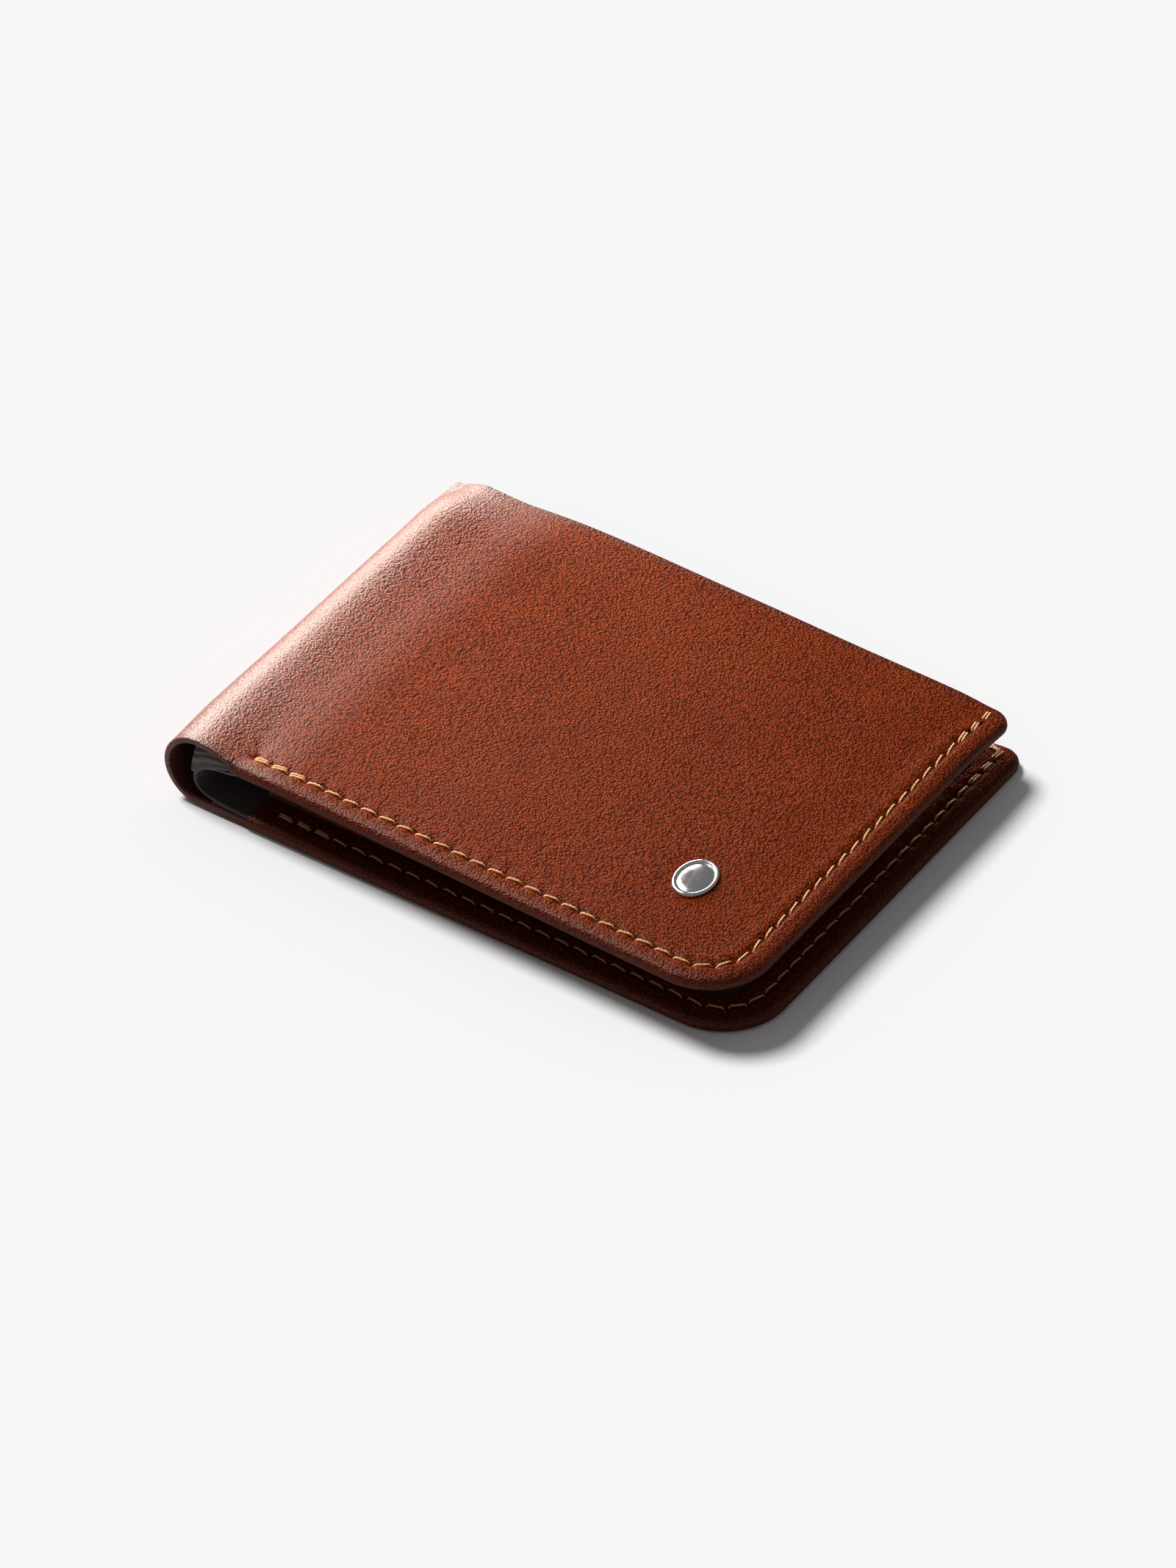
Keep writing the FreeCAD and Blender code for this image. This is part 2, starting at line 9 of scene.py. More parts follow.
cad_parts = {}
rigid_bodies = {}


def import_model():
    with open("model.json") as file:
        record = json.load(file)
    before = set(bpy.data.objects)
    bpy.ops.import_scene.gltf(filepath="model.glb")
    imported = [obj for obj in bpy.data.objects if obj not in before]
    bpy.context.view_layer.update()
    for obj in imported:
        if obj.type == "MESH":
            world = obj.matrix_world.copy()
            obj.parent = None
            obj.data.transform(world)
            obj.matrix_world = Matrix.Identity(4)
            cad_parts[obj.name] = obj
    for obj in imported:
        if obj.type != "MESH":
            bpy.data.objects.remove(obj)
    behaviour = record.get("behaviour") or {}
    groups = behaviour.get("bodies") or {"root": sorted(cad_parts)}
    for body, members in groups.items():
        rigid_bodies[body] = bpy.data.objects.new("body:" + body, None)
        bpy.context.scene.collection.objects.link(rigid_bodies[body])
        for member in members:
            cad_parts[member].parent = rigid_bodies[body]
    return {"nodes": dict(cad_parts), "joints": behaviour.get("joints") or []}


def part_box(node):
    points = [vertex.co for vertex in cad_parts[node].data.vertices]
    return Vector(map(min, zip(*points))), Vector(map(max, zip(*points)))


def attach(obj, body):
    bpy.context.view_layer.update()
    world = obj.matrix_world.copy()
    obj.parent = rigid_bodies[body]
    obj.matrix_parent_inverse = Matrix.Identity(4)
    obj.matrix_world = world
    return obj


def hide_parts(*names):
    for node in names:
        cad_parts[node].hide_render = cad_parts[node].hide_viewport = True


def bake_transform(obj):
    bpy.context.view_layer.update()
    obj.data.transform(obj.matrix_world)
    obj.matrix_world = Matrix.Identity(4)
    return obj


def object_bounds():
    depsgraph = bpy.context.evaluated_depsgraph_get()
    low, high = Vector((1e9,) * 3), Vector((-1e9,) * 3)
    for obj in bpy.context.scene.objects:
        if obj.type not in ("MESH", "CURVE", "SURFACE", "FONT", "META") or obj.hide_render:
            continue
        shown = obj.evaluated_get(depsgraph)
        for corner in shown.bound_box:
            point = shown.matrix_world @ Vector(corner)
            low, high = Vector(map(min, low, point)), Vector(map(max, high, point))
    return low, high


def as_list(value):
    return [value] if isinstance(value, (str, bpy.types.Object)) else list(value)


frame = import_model()
cad_low, cad_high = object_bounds()

# All lengths below are millimetres in the CAD frame; meshes are scaled to metres when they are made.
MM = 0.001
SEED = 7

# ---------------------------------------------------------------- sizes read from the frame
LOW, HIGH = np.array(cad_low) / MM, np.array(cad_high) / MM
FOLD_R = (HIGH[2] - LOW[2]) / 2
FOLD_X, FOLD_Z = LOW[0] + FOLD_R, LOW[2] + FOLD_R
HALF_WIDTH = (HIGH[1] - LOW[1]) / 2
HINGES = [np.array(joint["pos_m"]) / MM for joint in frame["joints"]]
OPENING = sum(joint["range_deg"][1] for joint in frame["joints"])
TILT = math.radians(OPENING - 180)
ARC_END = math.radians(OPENING / 2) * FOLD_R
SEGMENT = 2 * ARC_END / len(HINGES)

# ---------------------------------------------------------------- leather and seam sizes
LEATHER = 1.1
RIM = 2.6
RIM_ROUND = 1.25
HEM_WIDTH = 6.5
FRONT_CORNER = 12.0
BACK_CORNER = 3.5
SEAM_INSET = 3.8
STITCH_PITCH = 3.6
STITCH_LENGTH = 2.9
SEAM_END = 3.0
THREAD = 0.185
COLUMN = STITCH_PITCH / 6
RING_BLEND = 14.0
CUT_ROUND = 0.32
BACK_RIM, BACK_ROUND = 1.35, 0.55
NO_SEAM = 1e3

# ---------------------------------------------------------------- linings and pockets
# Layers by the depth of their outer side from the leather's outer face, then their thicknesses.
LINING_LEVEL, WALL_LEVEL, BOARD_LEVEL, FACING_LEVEL = 1.13, 1.37, 1.59, 1.85
CLOTH, POCKET_LEATHER, POCKET_STEP = 0.2, 0.45, 0.48
CLOTH_MARGIN, CLOTH_ROUND, CLOTH_SPACING = 1.4, 0.08, 2.4
LINING_START, LINING_BACK, LINING_SPAN = 2.0, 41.0, 82.1
WALL_BACK, WALL_SPAN = 40.6, 81.7
LOOP_REACH = 12.0
BOARD_MARGIN = 1.3
POCKET_START, POCKET_MARGIN = 9.5, 6.8
POCKET_MOUTHS = [22.0, 10.0, -2.0]

# ---------------------------------------------------------------- small helpers


def smooth(x):
    x = np.clip(x, 0, 1)
    return x * x * (3 - 2 * x)


def bump(x, centre, width):
    return np.exp(-((x - centre) / width) ** 2)


def ripple(x, y, scale, seed):
    """Gentle repeatable unevenness of about +-1, from a few sine waves."""
    rng = np.random.default_rng(seed)
    total = np.zeros(np.broadcast(x, y).shape)
    for _ in range(6):
        direction, phase = rng.uniform(0, 2 * math.pi, 2)
        wave = rng.uniform(0.6, 1.6) / scale * 2 * math.pi
        total += np.sin(wave * (np.cos(direction) * x + np.sin(direction) * y) + phase)
    return total / 6


def mesh_object(name, points, faces, material_index=None, materials=(), sharp=40):
    """A smooth-shaded mesh object from millimetre points; sharp is the angle kept as an edge."""
    mesh = bpy.data.meshes.new(name)
    mesh.from_pydata((np.asarray(points, float) * MM).tolist(), [], faces)
    for material in materials:
        mesh.materials.append(material)
    if material_index is not None:
        mesh.polygons.foreach_set("material_index", np.asarray(material_index, np.int32))
    work = bmesh.new()
    work.from_mesh(mesh)
    bmesh.ops.recalc_face_normals(work, faces=work.faces)
    work.to_mesh(mesh)
    work.free()
    mesh.polygons.foreach_set("use_smooth", np.ones(len(mesh.polygons), bool))
    mesh.set_sharp_from_angle(angle=math.radians(sharp))
    obj = bpy.data.objects.new(name, mesh)
    bpy.context.scene.collection.objects.link(obj)
    return obj


def store(obj, name, values):
    """Keeps one number per vertex, for a material to read."""
    attribute = obj.data.attributes.new(name, "FLOAT", "POINT")
    attribute.data.foreach_set("value", np.asarray(values, np.float32))


def closed_grid(surfaces):
    """Points and faces of a thin sheet from its two surfaces, each a grid of points."""
    shape = surfaces[0].shape[:2]
    top = np.arange(shape[0] * shape[1]).reshape(shape)
    bottom = top + top.size
    faces = []
    for index in (top, bottom):
        for i in range(shape[0] - 1):
            for j in range(shape[1] - 1):
                faces.append([index[i, j], index[i + 1, j], index[i + 1, j + 1], index[i, j + 1]])
    for end in (0, -1):
        for i in range(shape[0] - 1):
            faces.append([top[i, end], top[i + 1, end], bottom[i + 1, end], bottom[i, end]])
        for j in range(shape[1] - 1):
            faces.append([top[end, j], top[end, j + 1], bottom[end, j + 1], bottom[end, j]])
    return np.concatenate([surface.reshape(-1, 3) for surface in surfaces]), faces


class Pile:
    """Points and faces of many small meshes, collected for one object."""

    def __init__(self):
        self.points, self.faces = [], []

    def add(self, meshes):
        for points, faces in meshes:
            start = len(self.points)
            self.points.extend(points)
            self.faces.extend([index + start for index in face] for face in faces)


# ---------------------------------------------------------------- the wallet's layout


class Half:
    """One half of the wallet. x runs from the fold to the free edge, n inwards from the outer face."""

    def __init__(self, name, side):
        self.name = name
        self.side = side
        self.body = name + "_half"
        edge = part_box("cover_" + name)[1][0] / MM
        self.length = edge - FOLD_X
        if side > 0:
            self.length = (self.length - FOLD_R * math.sin(TILT)) / math.cos(TILT)
        self.hem_start = 9.75 if side < 0 else 6.65
        self.seam_start = self.hem_start + (5.2 if side < 0 else 3.9)
        self.back = HALF_WIDTH
        bottom = self.length - FRONT_CORNER - self.seam_start
        bend = (FRONT_CORNER - SEAM_INSET) * math.pi / 2
        side_run = 2 * HALF_WIDTH - FRONT_CORNER - SEAM_END
        self.seam_length = bottom + bend + side_run
        self.stitches = int(round(self.seam_length / STITCH_PITCH))
        self.pitch = self.seam_length / self.stitches


LOWER, UPPER = Half("lower", -1), Half("upper", 1)


def sheet_sag(s, y):
    """How far the soft cover lies inside its plain shape: s along the cover from the spine's middle."""
    front, back = y + HALF_WIDTH, HALF_WIDTH - y
    spine = bump(s, 0, 13)
    pulled_in = 0.42 * bump(front, 0, 9) * spine - 0.45 * bump(back, 3, 10) * bump(s, 3, 10)
    u = np.abs(s) - ARC_END
    upper = s > 0
    levelled = np.where(upper, 1.15 * smooth(u / 9) * np.clip(1 - u / 92, -0.2, 1), 0)
    levelled = levelled * (0.72 + 0.28 * bump(front, 0, 9))
    dent = np.where(upper, 0.35 * bump(u, 8.5, 5) * bump(front, 3, 6), 0)
    droop = np.where(upper, smooth((14 - back) / 14) * smooth((u + 3) / 20), 0)
    crown = np.where(u > 0, -0.35 * smooth(np.minimum(front, back) / 16) * smooth((u - 2) / 14)
                     * smooth((LOWER.length - 2 - u) / 18), 0)
    uneven = 0.10 * ripple(s, y, 34, 3) * smooth((front - 1) / 10)
    return pulled_in + levelled + dent + droop + np.where(upper, crown + uneven, 0) + creases(s, y)


def corner_drop(s, y):
    """How far the unsupported back corner of the spine has sunk."""
    u = s - ARC_END
    side = np.where(u < -3, bump(u, -3, 9), bump(u, -3, 14)) * smooth(s / 6)
    return np.where(s > 0, 3.6 * smooth((16 - (HALF_WIDTH - y)) / 16) ** 1.6 * side, 0)


def creases(s, y):
    """Short folds that run from the upper seam's first stitch towards the spine."""
    u, across = s - ARC_END - 9.6, y + HALF_WIDTH - SEAM_INSET
    total = np.zeros(np.broadcast(u, across).shape)
    for angle, length, width, depth in ((96, 7.5, 0.42, 0.24), (112, 8.5, 0.50, 0.21), (128, 7.0, 0.45, 0.17),
                                        (150, 4.5, 0.50, 0.16), (184, 3.0, 0.60, 0.15)):
        cosine, sine = math.cos(math.radians(angle)), math.sin(math.radians(angle))
        along, aside = u * cosine + across * sine, across * cosine - u * sine
        aside = aside - 0.25 * np.sin(along / 1.7 + angle)
        start = smooth(along / 1.2)
        total += depth * bump(aside, 0, width) * start * smooth((length - along) / (0.7 * length))
        total -= 0.5 * depth * bump(aside, 1.6 * width, width) * start * smooth((length - along) / length)
    return np.where(s > 0, total, 0)


def skew(s, y):
    """Sideways shift of the two halves, which don't lie quite square to the spine."""
    u = np.abs(s) - ARC_END
    slope = np.where(s > 0, -0.0124 * (1 - 0.45 * smooth(y / 40)), 0.0145)
    return np.where(u > 0, u * smooth(u / 10) * slope, 0)


def place(s, y, n):
    """Points of the cover: s along it from the spine's middle, n inwards from its outer face."""
    s, y, n = np.broadcast_arrays(np.asarray(s, float), np.asarray(y, float), np.asarray(n, float))
    n = n + sheet_sag(s, y)
    y = y + skew(s, y)
    x, z = np.empty(s.shape), np.empty(s.shape)
    lower, upper = s < -ARC_END, s > ARC_END
    arc = ~(lower | upper)
    x[lower], z[lower] = FOLD_X - s[lower] - ARC_END, n[lower]
    u = s - ARC_END
    x[upper] = (FOLD_X + (FOLD_R - n) * math.sin(TILT) + u * math.cos(TILT))[upper]
    z[upper] = (FOLD_Z + (FOLD_R - n) * math.cos(TILT) - u * math.sin(TILT))[upper]
    angle = math.radians(270) - (s + ARC_END) / FOLD_R
    x[arc] = (FOLD_X + (FOLD_R - n) * np.cos(angle))[arc]
    z[arc] = (FOLD_Z + (FOLD_R - n) * np.sin(angle))[arc]
    return np.stack([x, y, z - corner_drop(s, y)], -1)


def on_half(half, u, y, n):
    """Points of one half: u from the fold towards the free edge."""
    return place(half.side * (ARC_END + np.asarray(u, float)), y, n)


# The cover's vertices lie in rings along the rim: some round its edge, then these, by distance from it.
ROUND_ANGLES = np.radians([0, 22.5, 45, 67.5, 90])
ROUND_COUNT = len(ROUND_ANGLES)
FLAT_RINGS = np.array([1.6, 2.1, 2.6, 3.0, 3.3, 3.55, 3.8, 4.05, 4.3, 4.6, 5.0, 5.5, 6.0, 6.42, 6.5, 6.56,
                       6.9, 7.6, 8.6, 10, 12])


def ring_inset(radius, depth):
    """Insets from the rim: its middle, the round stretch, the flat rings and the last one at depth."""
    return np.concatenate([[0], radius * (1 - np.cos(ROUND_ANGLES)), FLAT_RINGS, [depth]])


def outline(half, depth):
    """Steps along the rim from the front straight, round both corners, to the back straight.

    Returns points and inward normals on the outline, and the seam's distance from its first stitch."""
    points, normals, seam = [], [], []

    def add(x, y, nx, ny, run):
        points.append((x, y))
        normals.append((nx, ny))
        seam.append(run)

    x = half.length - depth
    run = x - half.seam_start
    while x < half.length - FRONT_CORNER - 1e-6:
        add(x, -HALF_WIDTH, 0, 1, run)
        x += COLUMN
        run += COLUMN
    run += half.length - FRONT_CORNER - x
    radius = FRONT_CORNER - SEAM_INSET
    steps = int(round(radius * math.pi / 2 / (COLUMN / 2)))
    centre = (half.length - FRONT_CORNER, FRONT_CORNER - HALF_WIDTH)
    for step in range(steps):
        angle = step / steps * math.pi / 2
        sine, cosine = math.sin(angle), math.cos(angle)
        add(centre[0] + FRONT_CORNER * sine, centre[1] - FRONT_CORNER * cosine, -sine, cosine,
            run + radius * angle)
    run += radius * math.pi / 2
    side = half.back - BACK_CORNER - centre[1]
    steps = int(round(side / COLUMN))
    for step in range(steps):
        add(half.length, centre[1] + side * step / steps, -1, 0, run + side * step / steps)
    centre = (half.length - BACK_CORNER, half.back - BACK_CORNER)
    for step in range(9):
        angle = step / 9 * math.pi / 2
        sine, cosine = math.sin(angle), math.cos(angle)
        add(centre[0] + BACK_CORNER * cosine, centre[1] + BACK_CORNER * sine, -cosine, -sine, NO_SEAM)
    steps = 12
    for step in range(steps + 1):
        add(centre[0] - (depth - BACK_CORNER) * step / steps, half.back, 0, -1, NO_SEAM)
    return np.array(points), np.array(normals), np.array(seam)


def seam_strength(half, run):
    """1 along the seam, 0 where the rim has none."""
    return smooth((run + 2.6) / 1.3) * smooth((half.seam_length + 2.6 - run) / 1.3)


def seam_point(half, run):
    """Place and direction on the seam line, run millimetres from the first stitch's middle."""
    start, radius = half.seam_start, FRONT_CORNER - SEAM_INSET
    bottom, bend = half.length - FRONT_CORNER - start, radius * math.pi / 2
    if run < bottom:
        return (start + run, SEAM_INSET - HALF_WIDTH), (1, 0)
    centre = (half.length - FRONT_CORNER, FRONT_CORNER - HALF_WIDTH)
    if run < bottom + bend:
        angle = (run - bottom) / radius
        sine, cosine = math.sin(angle), math.cos(angle)
        return (centre[0] + radius * sine, centre[1] - radius * cosine), (cosine, sine)
    return (half.length - SEAM_INSET, centre[1] + run - bottom - bend), (0, 1)


def seam_relief(half, inset, run):
    """Depth of the leather at the seam: a groove, a pit at each hole, the leather pillowed beside it."""
    strength = seam_strength(half, run)
    phase = (run / half.pitch + 0.5) % 1.0
    from_hole = np.minimum(phase, 1 - phase) * half.pitch
    groove = 0.26 * bump(inset, SEAM_INSET, 0.5)
    pit = 0.42 * bump(inset, SEAM_INSET, 0.55) * bump(from_hole, 0, 0.5)
    pucker = 0.10 * bump(inset, SEAM_INSET, 1.7) * np.cos(2 * math.pi * phase)
    pillow = -0.16 * bump(inset, 2.5, 0.75) - 0.12 * bump(inset, 5.4, 1.1)
    return strength * (groove + pit + pucker + pillow)


def cover_layout(half):
    """Where the cover's vertices lie on one half: a grid of columns and, round the free end, a strip."""
    seam_zero = half.seam_start
    steps = int((half.length - RING_BLEND - seam_zero) / COLUMN)
    depth = half.length - seam_zero - steps * COLUMN
    flat = seam_zero + COLUMN * np.arange(steps + 1)
    near_hem = np.linspace(half.hem_start, seam_zero, int((seam_zero - half.hem_start) / COLUMN) + 1)[:-1]
    single = np.linspace(-ARC_END + 0.5 * SEGMENT * (len(HINGES) - 2), half.hem_start - 0.02, 34)
    columns = np.concatenate([single[:1], single[:1] + 0.03, single[1:], near_hem, flat])
    rim, normal, run = outline(half, depth)
    interior = len(rim) - 1
    rings = len(ring_inset(RIM_ROUND, depth)) - 1
    lines = 2 * rings + interior

    in_hem = columns >= half.hem_start - 1e-6
    front_round = np.where(in_hem, RIM_ROUND, CUT_ROUND)
    back_round = np.where(columns > 0, BACK_ROUND, CUT_ROUND)
    grid = {key: np.zeros((len(columns), lines + 1)) for key in
            ("u", "y", "inset", "ring", "rim", "round", "run", "hem")}
    grid["u"][:] = columns[:, None]
    grid["run"][:] = columns[:, None] - seam_zero
    across = np.linspace(0, 1, interior + 1)
    for index in range(len(columns)):
        front_y = -HALF_WIDTH + (0 if in_hem[index] else 0.35)
        inset_front = ring_inset(front_round[index], depth)
        inset_back = ring_inset(back_round[index], depth)
        grid["y"][index] = np.concatenate([front_y + inset_front[:-1],
                                           front_y + depth + across * (half.back - front_y - 2 * depth),
                                           half.back - inset_back[:-1][::-1]])
        grid["inset"][index] = np.concatenate([inset_front[:-1], np.full(interior + 1, depth),
                                               inset_back[:-1][::-1]])
    grid["ring"][:] = np.concatenate([np.arange(rings), np.full(interior + 1, rings),
                                      np.arange(rings)[::-1]])
    front_side = np.arange(lines + 1) <= lines / 2
    grid["rim"][:] = np.where(front_side, np.where(in_hem, RIM, LEATHER)[:, None], BACK_RIM)
    grid["rim"][columns < 0] = LEATHER
    grid["round"][:] = np.where(front_side, front_round[:, None], back_round[:, None])
    grid["hem"][:] = np.where(front_side, in_hem[:, None], 0)
    grid["run"][:] = np.where(front_side, grid["run"], NO_SEAM)

    count = len(rim)
    strip = {key: np.zeros((count, rings + 1)) for key in grid}
    turned = smooth((np.arange(count) - (count - 13)) / 8)
    strip["rim"][:] = (RIM + (BACK_RIM - RIM) * turned)[:, None]
    strip["round"][:] = (RIM_ROUND + (BACK_ROUND - RIM_ROUND) * turned)[:, None]
    strip["run"][:] = run[:, None]
    strip["ring"][:] = np.arange(rings + 1)
    strip["hem"][:] = (turned < 0.5)[:, None]
    inner = np.stack([np.full(count, half.length - depth),
                      np.linspace(-HALF_WIDTH + depth, half.back - depth, count)], 1)
    along_side = smooth((count - 22 - np.arange(count)) / 30)
    for ring in range(rings + 1):
        inset = np.array([ring_inset(radius, depth)[ring] for radius in strip["round"][:, 0]])
        strip["inset"][:, ring] = inset
        straight = 2.9 + 5.1 * along_side
        start = 2.3 + 4.3 * along_side
        weight = smooth((inset - start) / (depth - start))[:, None]
        if ring == rings:
            weight[:] = 1
        offset = rim + normal * np.minimum(inset, straight)[:, None]
        at = offset * (1 - weight) + inner * weight
        strip["u"][:, ring], strip["y"][:, ring] = at[:, 0], at[:, 1]
    return grid, strip


def cover_depths(half, part):
    """Outer and inner depths of the leather for the vertices of a layout part."""
    ring = part["ring"].astype(int)
    rim, radius, inset, run = part["rim"], part["round"], part["inset"], part["run"]
    angles = np.concatenate([[0], ROUND_ANGLES])[np.minimum(ring, ROUND_COUNT)]
    around = radius * (1 - np.sin(angles))
    relief = seam_relief(half, inset, run)
    outer = np.where(ring > ROUND_COUNT, relief, around)
    outer = np.where(ring == 0, rim / 2, outer)
    outer = outer + emblem_dimple(half, part["u"], part["y"])
    hem_top = rim - 0.8 * relief * part["hem"] - pleats(half, part)
    inner = np.where(ring > ROUND_COUNT, hem_top, rim - around)
    inner = np.where(inset > 6.47, LEATHER, inner)
    inner = np.where(ring == 0, rim / 2, inner)
    return outer, inner


def emblem_dimple(half, u, y):
    """The leather is drawn in a little round the badge."""
    if half.side < 0:
        return 0 * u
    low, high = (np.array(corner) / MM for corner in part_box("emblem"))
    away = np.hypot((u - (low[0] + high[0]) / 2 + FOLD_X) / 1.15, (y - (low[1] + high[1]) / 2) / 1.45)
    return 0.20 * np.exp(-(away / 4.2) ** 2)


def pleats(half, part):
    """Small radial folds where the turned edge is gathered round the front corner."""
    from_corner = np.stack([part["u"] - (half.length - FRONT_CORNER), part["y"] + HALF_WIDTH - FRONT_CORNER])
    angle = np.degrees(np.arctan2(from_corner[0], -from_corner[1]))
    inside = smooth((angle + 6) / 14) * smooth((96 - angle) / 14)
    wave = np.abs(np.sin(np.radians(angle * 9.5 + 14 * np.sin(np.radians(angle * 5)))))
    return 0.30 * (1 - wave) ** 2 * inside * smooth((part["inset"] - 0.9) / 1.2) * part["hem"]


def build_cover(half, materials):
    """One half's leather, from the middle of the spine strip next to it to the free edge."""
    grid, strip = cover_layout(half)
    rows, lines = grid["u"].shape
    count, rings = strip["u"].shape[0], strip["u"].shape[1] - 1
    points, insets, maps = [], [], []
    for surface in (0, 1):
        grid_index = np.empty((rows, lines), int)
        depth = cover_depths(half, grid)[surface]
        at = on_half(half, grid["u"], grid["y"], depth)
        for row in range(rows):
            for line in range(lines):
                if surface and grid["ring"][row, line] == 0:
                    grid_index[row, line] = maps[0][0][row, line]
                    continue
                grid_index[row, line] = len(points)
                points.append(at[row, line])
                insets.append(grid["inset"][row, line])
        strip_index = np.empty((count, rings + 1), int)
        depth = cover_depths(half, strip)[surface]
        at = on_half(half, strip["u"], strip["y"], depth)
        for step in range(count):
            for ring in range(rings + 1):
                if step == 0:
                    strip_index[step, ring] = grid_index[rows - 1, ring]
                elif step == count - 1:
                    strip_index[step, ring] = grid_index[rows - 1, lines - 1 - ring]
                elif ring == rings:
                    strip_index[step, ring] = grid_index[rows - 1, rings + step]
                elif surface and ring == 0:
                    strip_index[step, ring] = maps[0][1][step, ring]
                else:
                    strip_index[step, ring] = len(points)
                    points.append(at[step, ring])
                    insets.append(strip["inset"][step, ring])
        maps.append((grid_index, strip_index))

    faces, kinds = [], []

    def add(quad, kind):
        if len(set(quad)) >= 3:
            faces.append(list(dict.fromkeys(quad)))
            kinds.append(kind)

    hem_row = int(np.argmax(grid["hem"][:, 3] > 0))
    for surface, (grid_index, strip_index) in enumerate(maps):
        for row in range(rows - 1):
            for line in range(lines - 1):
                quad = (grid_index[row, line], grid_index[row + 1, line],
                        grid_index[row + 1, line + 1], grid_index[row, line + 1])
                ring = min(grid["ring"][row, line], grid["ring"][row, line + 1])
                inset = min(grid["inset"][row, line], grid["inset"][row, line + 1])
                add(quad, face_kind(surface, row < hem_row - 1, row == hem_row - 1, ring, inset))
        for step in range(count - 1):
            for ring in range(rings):
                quad = (strip_index[step, ring], strip_index[step + 1, ring],
                        strip_index[step + 1, ring + 1], strip_index[step, ring + 1])
                add(quad, face_kind(surface, False, False, ring, strip["inset"][step, ring]))
    for line in range(lines - 1):
        add((maps[0][0][0, line], maps[0][0][0, line + 1], maps[1][0][0, line + 1], maps[1][0][0, line]), 0)
    cover = mesh_object(f"leather_{half.name}", points, faces, kinds, materials)
    store(cover, "inset", insets)
    return cover, grid


def face_kind(surface, in_single, at_hem_start, ring, inset):
    """Material of a cover face: 0 grain leather, 1 flesh side, 2 raw cut edge."""
    if at_hem_start and surface and inset < HEM_WIDTH:
        return 2
    if 6.40 < inset < 6.49 and surface:
        return 2
    if in_single and ring < 3:
        return 0
    if surface and (in_single or inset > 6.45):
        return 1
    return 0


def build_spine(name, first, last, grid, materials):
    """A strip of spine leather between two places along the cover, on the same lines across."""
    lines = grid["u"].shape[1]
    steps = np.concatenate([[0, 0.03], np.linspace(0.03, last - first - 0.03, 15)[1:], [last - first]])
    y = grid["y"][0]
    part = {key: np.repeat(grid[key][:1], len(steps), 0) for key in grid}
    outer, inner = cover_depths(LOWER, part)
    s = (first + steps)[:, None]
    points, maps = [], []
    for surface, depth in enumerate((outer, inner)):
        at = place(s, y[None, :], depth)
        index = np.empty(depth.shape, int)
        for row in range(len(steps)):
            for line in range(lines):
                if surface and part["ring"][row, line] == 0:
                    index[row, line] = maps[0][row, line]
                    continue
                index[row, line] = len(points)
                points.append(at[row, line])
        maps.append(index)
    faces, kinds = [], []
    for surface, index in enumerate(maps):
        for row in range(len(steps) - 1):
            for line in range(lines - 1):
                faces.append([index[row, line], index[row + 1, line], index[row + 1, line + 1],
                              index[row, line + 1]])
                ring = min(part["ring"][row, line], part["ring"][row, line + 1])
                kinds.append(0 if ring < 3 else surface)
    for row in (0, len(steps) - 1):
        for line in range(lines - 1):
            quad = [maps[0][row, line], maps[0][row, line + 1], maps[1][row, line + 1], maps[1][row, line]]
            quad = list(dict.fromkeys(quad))
            if len(quad) >= 3:
                faces.append(quad)
                kinds.append(0)
    strip = mesh_object(name, points, faces, kinds, materials)
    store(strip, "inset", np.full(len(points), 10.0))
    return strip


# ---------------------------------------------------------------- thread


def tube(path, radius, sides):
    """Points and faces of a round tube along a path."""
    path = np.asarray(path, float)
    tangent = np.gradient(path, axis=0)
    tangent /= np.linalg.norm(tangent, axis=1)[:, None]
    steep = abs(tangent[:, 2]).max() >= 0.9
    reference = np.array([0.577, 0.577, 0.577]) if steep else np.array([0.0, 0.0, 1.0])
    across = np.cross(tangent, reference)
    across /= np.linalg.norm(across, axis=1)[:, None]
    over = np.cross(across, tangent)
    turn = np.arange(sides) / sides * 2 * math.pi
    rings = (path[:, None] + radius * (np.cos(turn)[None, :, None] * across[:, None]
                                       + np.sin(turn)[None, :, None] * over[:, None]))
    points = rings.reshape(-1, 3)
    faces = []
    for i in range(len(path) - 1):
        for j in range(sides):
            k = (j + 1) % sides
            faces.append([i * sides + j, i * sides + k, (i + 1) * sides + k, (i + 1) * sides + j])
    faces.append(list(range(sides))[::-1])
    faces.append([(len(path) - 1) * sides + j for j in range(sides)])
    return points, faces


def stitch_strands(centre_at, length, slant, twist_phase, plies, segments, sides, dive):
    """The plies of one stitch. centre_at(along, across, lift) gives a point on the leather."""
    t = np.linspace(-1, 1, segments)
    along = 0.5 * length * np.sign(t) * np.abs(t) ** 0.92
    across = slant * along
    lift = -dive * np.clip((np.abs(t) - 0.62) / 0.38, 0, 1) ** 1.5
    lift = lift + 0.06 * (1 - t ** 2)
    turn = 2 * math.pi * along / 1.9 + twist_phase
    ply_offset = THREAD * 0.46
    for ply in range(plies):
        angle = turn + ply * 2 * math.pi / plies
        path = centre_at(along, across + ply_offset * np.cos(angle), lift + ply_offset * np.sin(angle))
        yield tube(path, THREAD * 0.62, sides)


